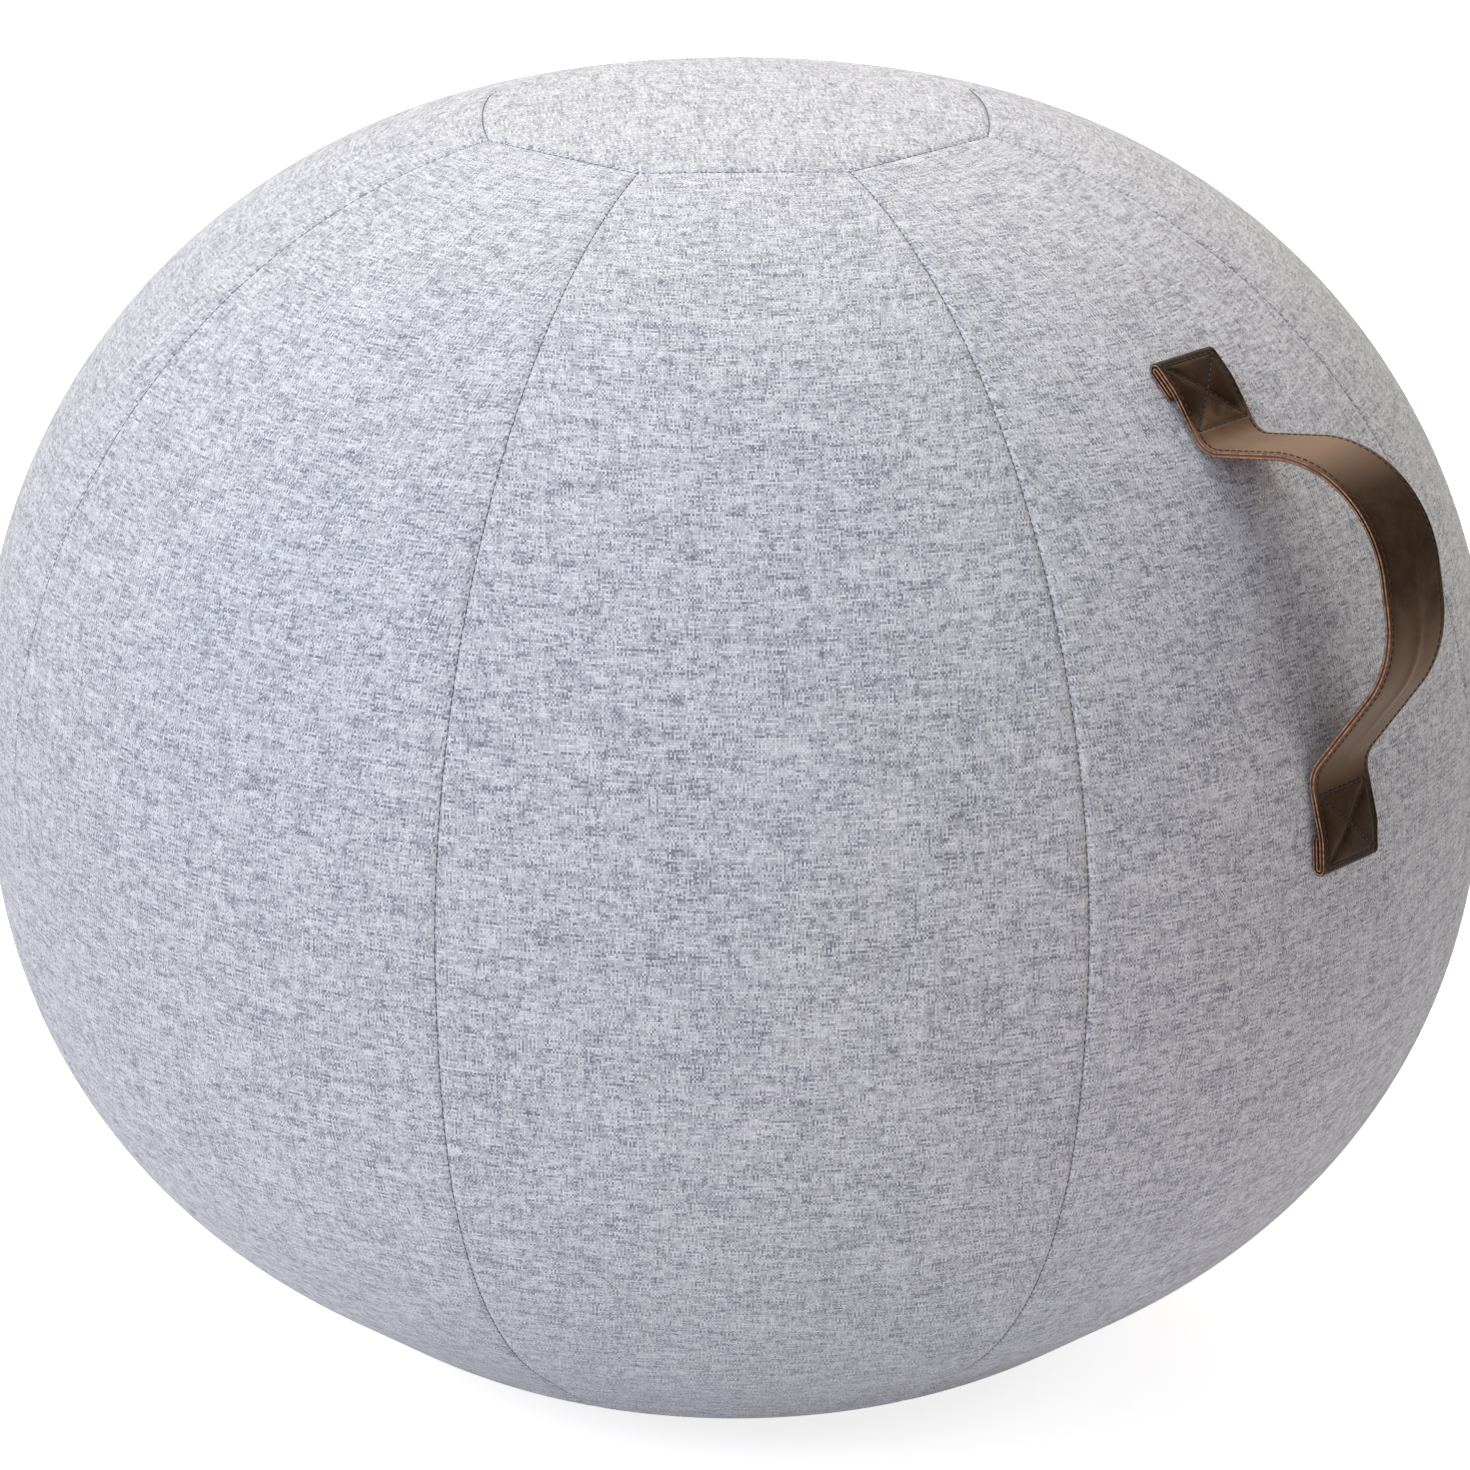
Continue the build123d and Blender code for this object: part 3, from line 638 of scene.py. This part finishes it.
def line_distance(across, depth):
    """Distance from the nearest line of the box and cross on a pad."""
    half = STRAP_WIDTH / 2 - BOX_INSET
    out_across = max(abs(across) - half, 0)
    out_depth = max(BOX_START - depth, depth - BOX_END, 0)
    if out_across > 0 or out_depth > 0:
        return math.hypot(out_across, out_depth)
    slope = 2 * half / (BOX_END - BOX_START)
    centred = slope * (depth - (BOX_START + BOX_END) / 2)
    crossing = min(abs(across - centred), abs(across + centred)) / math.hypot(1, slope)
    return min(half - abs(across), depth - BOX_START, BOX_END - depth, crossing)


def strap_relief(across, run):
    """How far the strap's face stands off flat: sewn pillows on the pads, a groove under each edge row."""
    depth = min(run - pad_start, pad_end - run)
    if 0 <= depth <= BOX_END:
        gap = line_distance(across, depth)
        pillow = PILLOW_HEIGHT * (1 - math.exp(-(gap / PILLOW_REACH) ** 2))
        return pillow - STITCH_GROOVE * math.exp(-(gap / STITCH_GROOVE_REACH) ** 2)
    row_gap = STRAP_WIDTH / 2 - EDGE_ROW_INSET - abs(across)
    return -EDGE_ROW_GROOVE * math.exp(-(row_gap / STITCH_GROOVE_REACH) ** 2)


def strap_crease(across, run):
    """The lengthwise ridge that the strap takes where it bends back towards its lower end."""
    loop_share = (run - pad_start) / (pad_end - pad_start)
    strength = math.exp(-((loop_share - CREASE_MIDDLE) / CREASE_SPREAD) ** 2)
    return CREASE_HEIGHT * strength * math.exp(-((across - CREASE_OFFSET) / CREASE_REACH) ** 2)


def waxed_leatherette():
    """Waxed leatherette: fine pebbled grain, clouded brown, nearly matt, paler in painted highlight bands
    along the loop.
    """
    material, tree, shader = start_material("waxed_leatherette", roughness=0.45)
    place = add_node(tree, "UVMap", uv_map="strap")
    grain = add_node(tree, "TexVoronoi", {"Vector": place, "Scale": 1 / GRAIN}, voronoi_dimensions="2D",
                     feature="SMOOTH_F1")
    cloud = add_node(tree, "TexNoise", {"Vector": place, "Scale": 1 / PULL_UP, "Detail": 5.0,
                                        "Roughness": 0.6}, noise_dimensions="2D")
    parts = add_node(tree, "SeparateXYZ", {0: place}).outputs
    wander = add_node(tree, "Math", {0: cloud, 1: HIGHLIGHT_WANDER, 2: parts["Y"]}, operation="MULTIPLY_ADD")
    share = add_node(tree, "MapRange", {"Value": wander, "From Min": pad_start,
                                        "From Max": pad_end + HIGHLIGHT_WANDER})
    # Painted highlight and reflection: the loop's rising run, which faces the overhead lamp, and its lower
    # run, which faces the white floor, are painted paler; the pads and the arch's middle stay dark.
    highlight_stops = [(spot, (pale, pale, pale, 1)) for spot, pale in PAINTED_HIGHLIGHT_BANDS]
    painted_highlight = add_node(tree, "ValToRGB", {0: share}, stops=highlight_stops)
    tone = add_node(tree, "Math", {0: cloud, 1: PULL_CLOUD, 2: PULL_CLEAR}, operation="MULTIPLY_ADD")
    highlight_and_mottle = add_node(tree, "Math", {0: painted_highlight, 1: tone}, operation="ADD", use_clamp=True)
    colour = add_node(tree, "Mix", {0: highlight_and_mottle, 6: linear(LEATHER_DARK), 7: linear(LEATHER_PALE)},
                      data_type="RGBA")
    gloss = add_node(tree, "MapRange", {"Value": cloud, "To Min": 0.46, "To Max": 0.6})
    bump = add_node(tree, "Bump", {"Height": grain, "Strength": 0.25, "Distance": GRAIN_RELIEF})
    connect(tree, shader, {"Base Color": colour.outputs[2], "Roughness": gloss, "Normal": bump,
                           "Specular IOR Level": 0.1, "Specular Tint": linear(LEATHER_GLOSS),
                           "Sheen Weight": 0.04, "Sheen Roughness": 0.35, "Sheen Tint": linear(WAX_SHEEN)})
    return material


def raw_edge():
    """Cut edge of leatherette: bare tan fibre, matt and streaky along the cut."""
    material, tree, shader = start_material("raw_leatherette_edge", roughness=0.8)
    place = add_node(tree, "UVMap", uv_map="strap")
    fibre = add_node(tree, "TexNoise", {"Vector": place, "Scale": 1 / EDGE_FIBRE, "Detail": 4.0},
                     noise_dimensions="2D")
    ramp = add_node(tree, "ValToRGB", {0: fibre}, stops=[(spot, linear(code)) for spot, code in EDGE_TONES])
    connect(tree, shader, {"Base Color": ramp})
    return material


def strap_layer(low, high, relief):
    """Cuts one layer of the strap flat, rounds its edges, presses the sewn lines in and bends it."""
    bm = bmesh.new()
    bmesh.ops.create_grid(bm, x_segments=round(STRAP_WIDTH / STRAP_CELL),
                          y_segments=round(strap_length / STRAP_CELL), size=0.5,
                          matrix=Matrix.Diagonal((STRAP_WIDTH, strap_length, 1, 1)))
    bmesh.ops.translate(bm, verts=bm.verts, vec=(0, strap_length / 2, low))
    sides = bmesh.ops.extrude_face_region(bm, geom=bm.faces[:])["geom"]
    bmesh.ops.translate(bm, verts=[item for item in sides if isinstance(item, bmesh.types.BMVert)],
                        vec=(0, 0, high - low))
    bmesh.ops.recalc_face_normals(bm, faces=bm.faces)
    sharp = [edge for edge in bm.edges if edge.calc_face_angle(0) > math.pi / 4]
    bmesh.ops.bevel(bm, geom=sharp, offset=STRAP_ROUND, offset_type="OFFSET", segments=2, profile=0.5,
                    affect="EDGES", material=-1)
    bm.normal_update()
    uv = bm.loops.layers.uv.new("strap")
    for face in bm.faces:
        face.material_index = 1 if abs(face.normal.z) < STEEP_FACE else 0
        for loop in face.loops:
            loop[uv].uv = loop.vert.co.xy
    for point in bm.verts:
        across, run, height = point.co
        share = (height - low) / (high - low)
        raised = relief * share * strap_relief(across, run) + strap_crease(across, run)
        point.co = bend_to_route(across, run, height + raised)
    bmesh.ops.recalc_face_normals(bm, faces=bm.faces)
    return bm


def let_swing(piece):
    """Bakes a strap piece's placing into its mesh."""
    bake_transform(piece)


leatherette = waxed_leatherette()
cut_edge = raw_edge()
strap_face = add_piece("strap_face", strap_layer(0, LAYER_THICKNESS, 1), [leatherette, cut_edge])
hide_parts("handle_strap_face", "handle_root_upper", "handle_root_lower", "handle_end_upper",
            "handle_end_lower")
let_swing(strap_face)
strap_lining = add_piece("strap_lining", strap_layer(-LAYER_THICKNESS, 0, 0), [leatherette, cut_edge])
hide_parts("handle_strap_lining")
let_swing(strap_lining)

# Strap stitching
# Dark brown polyester thread: a row along both edges of the loop, on its face and its lining, and a box
# with a cross through each folded end, which goes down into the cover and the patch behind it.
STITCH_PITCH = 3.1 * MM
STITCH_LENGTH = 2.5 * MM
STITCH_THICK = 0.85 * MM
STITCH_SET = 0.14 * MM
# The thread is near black: partly its own dark brown, partly painted shade of the holes and grooves it sinks
# into.
THREAD_BROWN = "#150e09"


def stitch_line(bm, first, last, side):
    """Sews a straight line of stitches between two points of the flat strap, on its face or its lining."""
    count = max(1, round((last - first).length / STITCH_PITCH))
    half = (last - first) / count * STITCH_LENGTH / STITCH_PITCH / 2
    for number in range(count):
        middle = first.lerp(last, (number + 0.5) / count)
        height = side * (LAYER_THICKNESS + STITCH_SET) + strap_crease(*middle)
        height += strap_relief(*middle) if side > 0 else 0
        before, after = (bend_to_route(*(middle + offset), height) for offset in (-half, half))
        place = bend_to_route(*middle, height)
        up = (bend_to_route(*middle, height + side * MM) - place).normalized()
        along = (after - before).normalized()
        add_stitch(bm, place, along, (up - up.dot(along) * along).normalized(), STITCH_LENGTH, STITCH_THICK)


strap_thread = bmesh.new()
edge_row = STRAP_WIDTH / 2 - EDGE_ROW_INSET
loop_start = pad_start + PAD_LENGTH
loop_end = pad_end - PAD_LENGTH
for across in (-edge_row, edge_row):
    for side in (1, -1):
        stitch_line(strap_thread, Vector((across, loop_start)), Vector((across, loop_end)), side)
box_half = STRAP_WIDTH / 2 - BOX_INSET
for fold, inwards in ((pad_start, 1), (pad_end, -1)):
    first = fold + inwards * BOX_START
    last = fold + inwards * BOX_END
    box = [Vector((-box_half, first)), Vector((box_half, first)),
           Vector((box_half, last)), Vector((-box_half, last))]
    for start, end in ((0, 1), (1, 2), (2, 3), (3, 0), (0, 2), (1, 3)):
        stitch_line(strap_thread, box[start], box[end], 1)
strap_rows = add_piece("strap_stitching", strap_thread, [spun_thread("brown_polyester_thread", THREAD_BROWN)])
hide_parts("handle_stitching_upper", "handle_stitching_lower")
let_swing(strap_rows)

# Zip
# A nylon coil zip round the back of the base seam, through which the bladder goes in and the cover comes
# off. Two woven tapes are sewn behind the cloth's edges; coils mesh between them, with a slider and stops.
ZIP_ARC = math.radians(160)
ZIP_START = math.pi - ZIP_ARC / 2
TAPE_WIDTH = 14 * MM
TAPE_GAP_HALF = 0.8 * MM
TAPE_THICKNESS = 0.6 * MM
TAPE_CELL = 2.2 * MM
TAPE_COLUMNS = 128
TAPE_DARK = "#5e5e62"
TAPE_LIGHT = "#8a8a8e"
TAPE_PITCH = 1.2 * MM
COIL_INNER = 0.6 * MM
COIL_WIDTH = 2.3 * MM
COIL_DEPTH = 0.35 * MM
COIL_PITCH = 1.3 * MM
COIL_WIRE = 1.15 * MM
STOP_LENGTH = 4 * MM
COIL_GREY = "#6c6c70"
COIL_SHADE = "#55555a"
ZINC_GREY = "#66666a"
ZINC_WORN = "#8d8d90"
CAST_SPECK = 2.5 * MM
CAST_ROUND = 0.3 * MM
WELD_GAP = 0.005 * MM
SHARP_ANGLE = math.radians(40)
MOULD_RELIEF = 0.1
GLOSS_SPREAD = 0.2


def clouded(name, dark, light, size, roughness, grit):
    """Smooth moulded or cast finish: two close tones in soft clouds and the faint unevenness of its mould."""
    material, tree, shader = start_material(name, roughness)
    place = add_node(tree, "TexCoord")
    cloud = add_node(tree, "TexNoise", {"Vector": place.outputs["Object"], "Scale": 1 / size, "Detail": 4.0})
    colour = add_node(tree, "Mix", {0: cloud, 6: linear(dark), 7: linear(light)}, data_type="RGBA")
    gloss = add_node(tree, "MapRange", {"Value": cloud, "To Min": (1 - GLOSS_SPREAD) * roughness,
                                        "To Max": (1 + GLOSS_SPREAD) * roughness})
    bump = add_node(tree, "Bump", {"Height": cloud, "Strength": grit, "Distance": MOULD_RELIEF * size})
    connect(tree, shader, {"Base Color": colour.outputs[2], "Roughness": gloss, "Normal": bump})
    return material


def finish_node(name, material, round_radius):
    """Gives a carried-over solid its finish and breaks its sharp edges."""
    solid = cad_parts[name]
    for holder in solid.material_slots:
        holder.material = material
    weld = solid.modifiers.new("weld", "WELD")
    weld.merge_threshold = WELD_GAP
    soften = solid.modifiers.new("soft_edges", "BEVEL")
    soften.width = round_radius
    soften.segments = 2
    soften.limit_method = "ANGLE"
    soften.angle_limit = SHARP_ANGLE


def spun_strip(first, last, depth, cell):
    """Strip of cloth behind the zip: a short line on the rounded base, spun through the zip's arc."""
    bm = bmesh.new()
    line_start = bm.verts.new(on_base(first, depth))
    carry(bm, line_start, base_centre, last - first, cell)
    turn_mesh(bm, ZIP_START)
    spin_mesh(bm, ZIP_ARC, TAPE_COLUMNS)
    face_outwards(bm)
    return bm


def along_zip(point):
    """Place of a tape's point on its flat cloth: its run along the zip, and up the base's curve."""
    bearing = math.atan2(point.co.y, point.co.x) % (2 * math.pi)
    return bearing * ZIP_RADIUS, BASE_RADIUS * math.asin((point.co.xy.length - flat_radius) / BASE_RADIUS)


tape_cloth = plain_cloth("woven_zip_tape", TAPE_DARK, TAPE_LIGHT, TAPE_PITCH, roughness=0.85)
nylon = clouded("nylon_coil", COIL_SHADE, COIL_GREY, CAST_SPECK, roughness=0.45, grit=0.1)
coil_step = COIL_PITCH / ZIP_RADIUS
coil_arc = ZIP_ARC - 2 * STOP_LENGTH / ZIP_RADIUS
coil_count = round(coil_arc * ZIP_RADIUS / COIL_PITCH)
for row, side in (("outer", 1), ("inner", -1)):
    slopes = sorted(zip_slope + side * width / BASE_RADIUS for width in (TAPE_GAP_HALF, TAPE_WIDTH))
    tape = spun_strip(*slopes, CLOTH_THICKNESS + SEWN_GAP, TAPE_CELL)
    lay_cloth(tape, along_zip)
    tape_area = mesh_area(tape)
    piece = add_piece("zip_tape_cloth_" + row, tape, [tape_cloth])
    thicken(piece, TAPE_THICKNESS)
    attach(piece, "cover")
    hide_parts("zip_tape_" + row)

    slope = zip_slope + side * (COIL_INNER + COIL_WIDTH / 2) / BASE_RADIUS
    across = Vector((math.cos(slope), 0, math.sin(slope)))
    outwards = Vector((math.sin(slope), 0, -math.cos(slope)))
    coil = bmesh.new()
    add_stitch(coil, on_base(slope, COIL_DEPTH), across, outwards, COIL_WIDTH, COIL_WIRE)
    # The loops of one coil lie between the other's, half a pitch on.
    stagger = 0 if side > 0 else coil_step / 2
    turn_mesh(coil, ZIP_START + STOP_LENGTH / ZIP_RADIUS + coil_step / 2 + stagger)
    spin_mesh(coil, (coil_count - 2) * coil_step, coil_count - 2, use_duplicate=True)
    piece = add_piece("zip_coil_wire_" + row, coil, [nylon])
    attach(piece, "cover")
    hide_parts("zip_coil_" + row)
zinc = clouded("lacquered_cast_zinc", ZINC_GREY, ZINC_WORN, CAST_SPECK, roughness=0.35, grit=0.1)
finish_node("zip_slider", zinc, CAST_ROUND)
finish_node("zip_end_stops", zinc, CAST_ROUND)

# Base panel
# A dished disc of charcoal non-slip cloth that the ball stands on, a coarse weave with a rubbery coat.
# It is sewn to the gores' hems round the front, and to the zip's inner tape round the back.
BASE_COLUMNS = 144
BASE_CELL = 6 * MM
BASE_DARK = "#232325"
BASE_LIGHT = "#4a4a4d"
BASE_PITCH = 1.8 * MM

panel = bmesh.new()
zip_edge_slope = zip_slope - ZIP_SLOT_HALF / BASE_RADIUS
tip = panel.verts.new((0, 0, 0))
tip = draw(panel, tip, Vector((flat_radius, 0, 0)), BASE_CELL)
carry(panel, tip, base_centre, zip_edge_slope, BASE_CELL)
spin_mesh(panel, 2 * math.pi, BASE_COLUMNS, use_merge=True)
band = bmesh.new()
tip = band.verts.new(on_base(zip_edge_slope, 0))
carry(band, tip, base_centre, hem_slope - zip_edge_slope, ZIP_SLOT_HALF)
turn_mesh(band, ZIP_START + ZIP_ARC)
sewn_share = 1 - ZIP_ARC / (2 * math.pi)
spin_mesh(band, 2 * math.pi * sewn_share, round(BASE_COLUMNS * sewn_share))
band_mesh = bpy.data.meshes.new("base_band")
band.to_mesh(band_mesh)
band.free()
panel.from_mesh(band_mesh)
bpy.data.meshes.remove(band_mesh)
face_outwards(panel)
lay_cloth(panel, lambda point: point.co.xy)
base_area = mesh_area(panel)
base_cloth = plain_cloth("coated_base_cloth", BASE_DARK, BASE_LIGHT, BASE_PITCH, roughness=0.7)
base_piece = add_piece("base_cloth", panel, [base_cloth])
thicken(base_piece, CLOTH_THICKNESS)
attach(base_piece, "cover")
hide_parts("base_panel")

# Foam ring
# A ring of black closed-cell foam in the base that keeps the ball from rolling, dished on top for the
# bladder. It is cut from a slab, with a groove turned in its underside for the zip's tapes and slider.
RING_INNER = 60 * MM
RING_OUTER = 185 * MM
RING_GAP = 0.3 * MM
RING_COLUMNS = 144
RING_CELL = 5 * MM
GROOVE_HALF = 14.4 * MM
GROOVE_DEPTH = 3.8 * MM
BLADDER_DEPTH = 2.25 * MM
FOAM_DARK = "#1c1c1e"
FOAM_LIGHT = "#333336"
# The real cells are about half as wide; these are drawn coarser, so that they show.
FOAM_CELL = 1.4 * MM
FOAM_RELIEF = 0.3

bed_radius = LOWER_RADIUS - BLADDER_DEPTH + RING_GAP
ring_skin = CLOTH_THICKNESS + RING_GAP
ring = bmesh.new()
first = ring.verts.new((RING_INNER, 0, ring_skin))
tip = draw(ring, first, Vector((flat_radius, 0, ring_skin)), RING_CELL)
groove_slopes = [zip_slope - GROOVE_HALF / BASE_RADIUS, zip_slope + GROOVE_HALF / BASE_RADIUS]
tip = carry(ring, tip, base_centre, groove_slopes[0], RING_CELL)
tip = draw(ring, tip, on_base(groove_slopes[0], GROOVE_DEPTH), RING_CELL)
tip = carry(ring, tip, base_centre, groove_slopes[1] - groove_slopes[0], RING_CELL)
tip = draw(ring, tip, on_base(groove_slopes[1], ring_skin), RING_CELL)
rim_slope = math.asin((RING_OUTER - flat_radius) / (BASE_RADIUS - ring_skin))
tip = carry(ring, tip, base_centre, rim_slope - groove_slopes[1], RING_CELL)
bed_slope = math.asin((RING_OUTER - lower_centre.x) / bed_radius)
bed_rim = lower_centre + bed_radius * Vector((math.sin(bed_slope), 0, -math.cos(bed_slope)))
tip = draw(ring, tip, bed_rim, RING_CELL)
tip = carry(ring, tip, lower_centre, -bed_slope, RING_CELL)
tip = draw(ring, tip, Vector((RING_INNER, 0, tip.co.z)), RING_CELL)
draw(ring, tip, first.co.copy(), RING_CELL)
bmesh.ops.remove_doubles(ring, verts=ring.verts, dist=MERGE_GAP)
spin_mesh(ring, 2 * math.pi, RING_COLUMNS, use_merge=True)
bmesh.ops.remove_doubles(ring, verts=ring.verts, dist=MERGE_GAP)
bmesh.ops.recalc_face_normals(ring, faces=ring.faces)


def closed_cell_foam():
    """Cut closed-cell foam: matt, nearly black, with small round cells opened by the knife."""
    material, tree, shader = start_material("closed_cell_foam", roughness=0.95)
    place = add_node(tree, "TexCoord")
    cells = add_node(tree, "TexVoronoi", {"Vector": place.outputs["Object"], "Scale": 1 / FOAM_CELL})
    colour = add_node(tree, "Mix", {0: cells, 6: linear(FOAM_DARK), 7: linear(FOAM_LIGHT)}, data_type="RGBA")
    bump = add_node(tree, "Bump", {"Height": cells, "Strength": 0.8, "Distance": FOAM_RELIEF * FOAM_CELL})
    connect(tree, shader, {"Base Color": colour.outputs[2], "Normal": bump})
    return material


ring_piece = add_piece("foam_ring", ring, [closed_cell_foam()])
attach(ring_piece, "cover")
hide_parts("base_ring")

# Air bladder
# A ball of soft grey PVC, blown to a little over room pressure, that fills the cover and makes the seat
# springy. It is moulded in one, with a hole in its foot where the valve's collar is welded in.
VALVE_TUBE = 6 * MM
BLADDER_THICKNESS = 1.2 * MM
BLADDER_COLUMNS = 160
BLADDER_CELL = 9 * MM
PVC_DARK = "#55575b"
PVC_LIGHT = "#6a6c70"
PVC_CLOUD = 25 * MM

bladder = bmesh.new()
bladder_floor = lower_centre.z - LOWER_RADIUS + BLADDER_DEPTH
tip = bladder.verts.new((VALVE_TUBE, 0, bladder_floor))
tip = draw(bladder, tip, Vector((lower_centre.x, 0, bladder_floor)), BLADDER_CELL)
tip = carry(bladder, tip, lower_centre, math.pi / 2 - BELLY_SWEEP, BLADDER_CELL)
tip = carry(bladder, tip, BELLY_CENTRE, BELLY_SWEEP, BLADDER_CELL)
tip = carry(bladder, tip, UPPER_CENTRE, crown_join, BLADDER_CELL)
carry(bladder, tip, crown_centre, math.pi / 2 - crown_join, BLADDER_CELL)
spin_mesh(bladder, 2 * math.pi, BLADDER_COLUMNS, use_merge=True)
face_outwards(bladder)
soft_pvc = clouded("soft_moulded_pvc", PVC_DARK, PVC_LIGHT, PVC_CLOUD, roughness=0.4, grit=0.05)
bladder_piece = add_piece("bladder_skin", bladder, [soft_pvc])
thicken(bladder_piece, BLADDER_THICKNESS)
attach(bladder_piece, "cover")
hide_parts("air_bladder")

# Valve
# A white moulded PVC collar welded into the bladder's foot, and the push-in plug that shuts it.
# Both are turned shapes with softly broken edges; the plug's flange is pulled with a fingernail.
VALVE_DARK = "#d2d2ce"
VALVE_LIGHT = "#e6e6e3"
VALVE_CLOUD = 4 * MM
VALVE_ROUND = 0.4 * MM

white_pvc = clouded("white_moulded_pvc", VALVE_DARK, VALVE_LIGHT, VALVE_CLOUD, roughness=0.4, grit=0.05)
finish_node("valve_collar", white_pvc, VALVE_ROUND)
finish_node("valve_plug", white_pvc, VALVE_ROUND)

# Floor, light and camera
# A plain white paper sweep, with broad soft lamps above, to the left and behind, and weak ones to the right
# and low in front. The camera stands at the photograph's angle.
FLOOR_WHITE = "#f4f4f5"
FLOOR_LIFT = 0.8
FLOOR_GAP = 0.5 * MM
FLOOR_HALF = 6
WORLD_STRENGTH = 0.1
LAMP_AIM = Vector((0, 0, 0.3))
CAMERA_DISTANCE = 2.1808
CAMERA_BEARING = math.radians(43)
CAMERA_RISE = math.radians(19.555)
CAMERA_TILT = math.radians(19.91)
CAMERA_LENS = 122.6
CAMERA_SENSOR = 36


def seen_rays(tree):
    """One for rays from the camera, mirrors and glass, and none for the rays that light the ball."""
    rays = add_node(tree, "LightPath").outputs
    seen = add_node(tree, "Math", {0: rays["Is Camera Ray"], 1: rays["Is Glossy Ray"]}, operation="MAXIMUM")
    return add_node(tree, "Math", {0: seen, 1: rays["Is Transmission Ray"]}, operation="MAXIMUM")


def stand(bearing, rise, distance):
    """Offset of a lamp or camera at a bearing, an angle above level and a distance."""
    level = distance * math.cos(rise)
    return Vector((level * math.sin(bearing), -level * math.cos(bearing), distance * math.sin(rise)))


floor_material, tree, shader = start_material("white_paper_sweep", roughness=0.9)
lift = add_node(tree, "Math", {0: seen_rays(tree), 1: FLOOR_LIFT}, operation="MULTIPLY")
connect(tree, shader, {"Base Color": linear(FLOOR_WHITE), "Emission Color": (1, 1, 1, 1),
                       "Emission Strength": lift})
floor_mesh = bmesh.new()
bmesh.ops.create_grid(floor_mesh, x_segments=1, y_segments=1, size=FLOOR_HALF)
bmesh.ops.translate(floor_mesh, verts=floor_mesh.verts, vec=(0, 0, -FLOOR_GAP))
floor_data = bpy.data.meshes.new("floor")
floor_mesh.to_mesh(floor_data)
floor_mesh.free()
floor_data.materials.append(floor_material)
floor = bpy.data.objects.new("floor", floor_data)
bpy.context.collection.objects.link(floor)

scene = bpy.context.scene
scene.view_settings.view_transform = "Standard"
scene.world = bpy.data.worlds.new("white_studio")
scene.world.use_nodes = True
tree = scene.world.node_tree
strength = add_node(tree, "MapRange", {"Value": seen_rays(tree), "To Min": WORLD_STRENGTH, "To Max": 1.0})
connect(tree, tree.nodes["Background"], {"Color": (1, 1, 1, 1), "Strength": strength})


def softbox(name, side, rise, reach, size, power, code):
    """A square diffused lamp that faces the ball, placed by degrees to the camera's right and above level."""
    lamp = bpy.data.lights.new(name, "AREA")
    lamp.size = size
    lamp.energy = power
    lamp.color = linear(code)[:3]
    holder = bpy.data.objects.new(name, lamp)
    offset = stand(CAMERA_BEARING + math.radians(side), math.radians(rise), reach)
    holder.location = LAMP_AIM + offset
    holder.rotation_euler = (-offset).to_track_quat("-Z", "Y").to_euler()
    bpy.context.collection.objects.link(holder)


softbox("overhead_softbox", side=0, rise=88, reach=2.6, size=2.0, power=25, code="#f6fffe")
softbox("front_left_softbox", side=-45, rise=35, reach=3.0, size=1.6, power=49, code="#eff1ff")
softbox("back_left_softbox", side=-140, rise=45, reach=2.8, size=1.6, power=26, code="#fffae6")
softbox("back_softbox", side=155, rise=50, reach=2.8, size=1.6, power=30, code="#ffeedc")
softbox("right_softbox", side=57, rise=30, reach=2.6, size=1.4, power=4.3, code="#ffe4c8")
softbox("low_front_softbox", side=0, rise=5, reach=3.2, size=1.2, power=4.2, code="#ffe6da")

camera_data = bpy.data.cameras.new("camera")
camera_data.lens = CAMERA_LENS
camera_data.sensor_width = CAMERA_SENSOR
camera = bpy.data.objects.new("camera", camera_data)
camera.location = UPPER_CENTRE.z * UPRIGHT + stand(CAMERA_BEARING, CAMERA_RISE, CAMERA_DISTANCE)
camera.rotation_euler = (math.pi / 2 - CAMERA_TILT, 0, CAMERA_BEARING)
bpy.context.collection.objects.link(camera)
scene.camera = camera
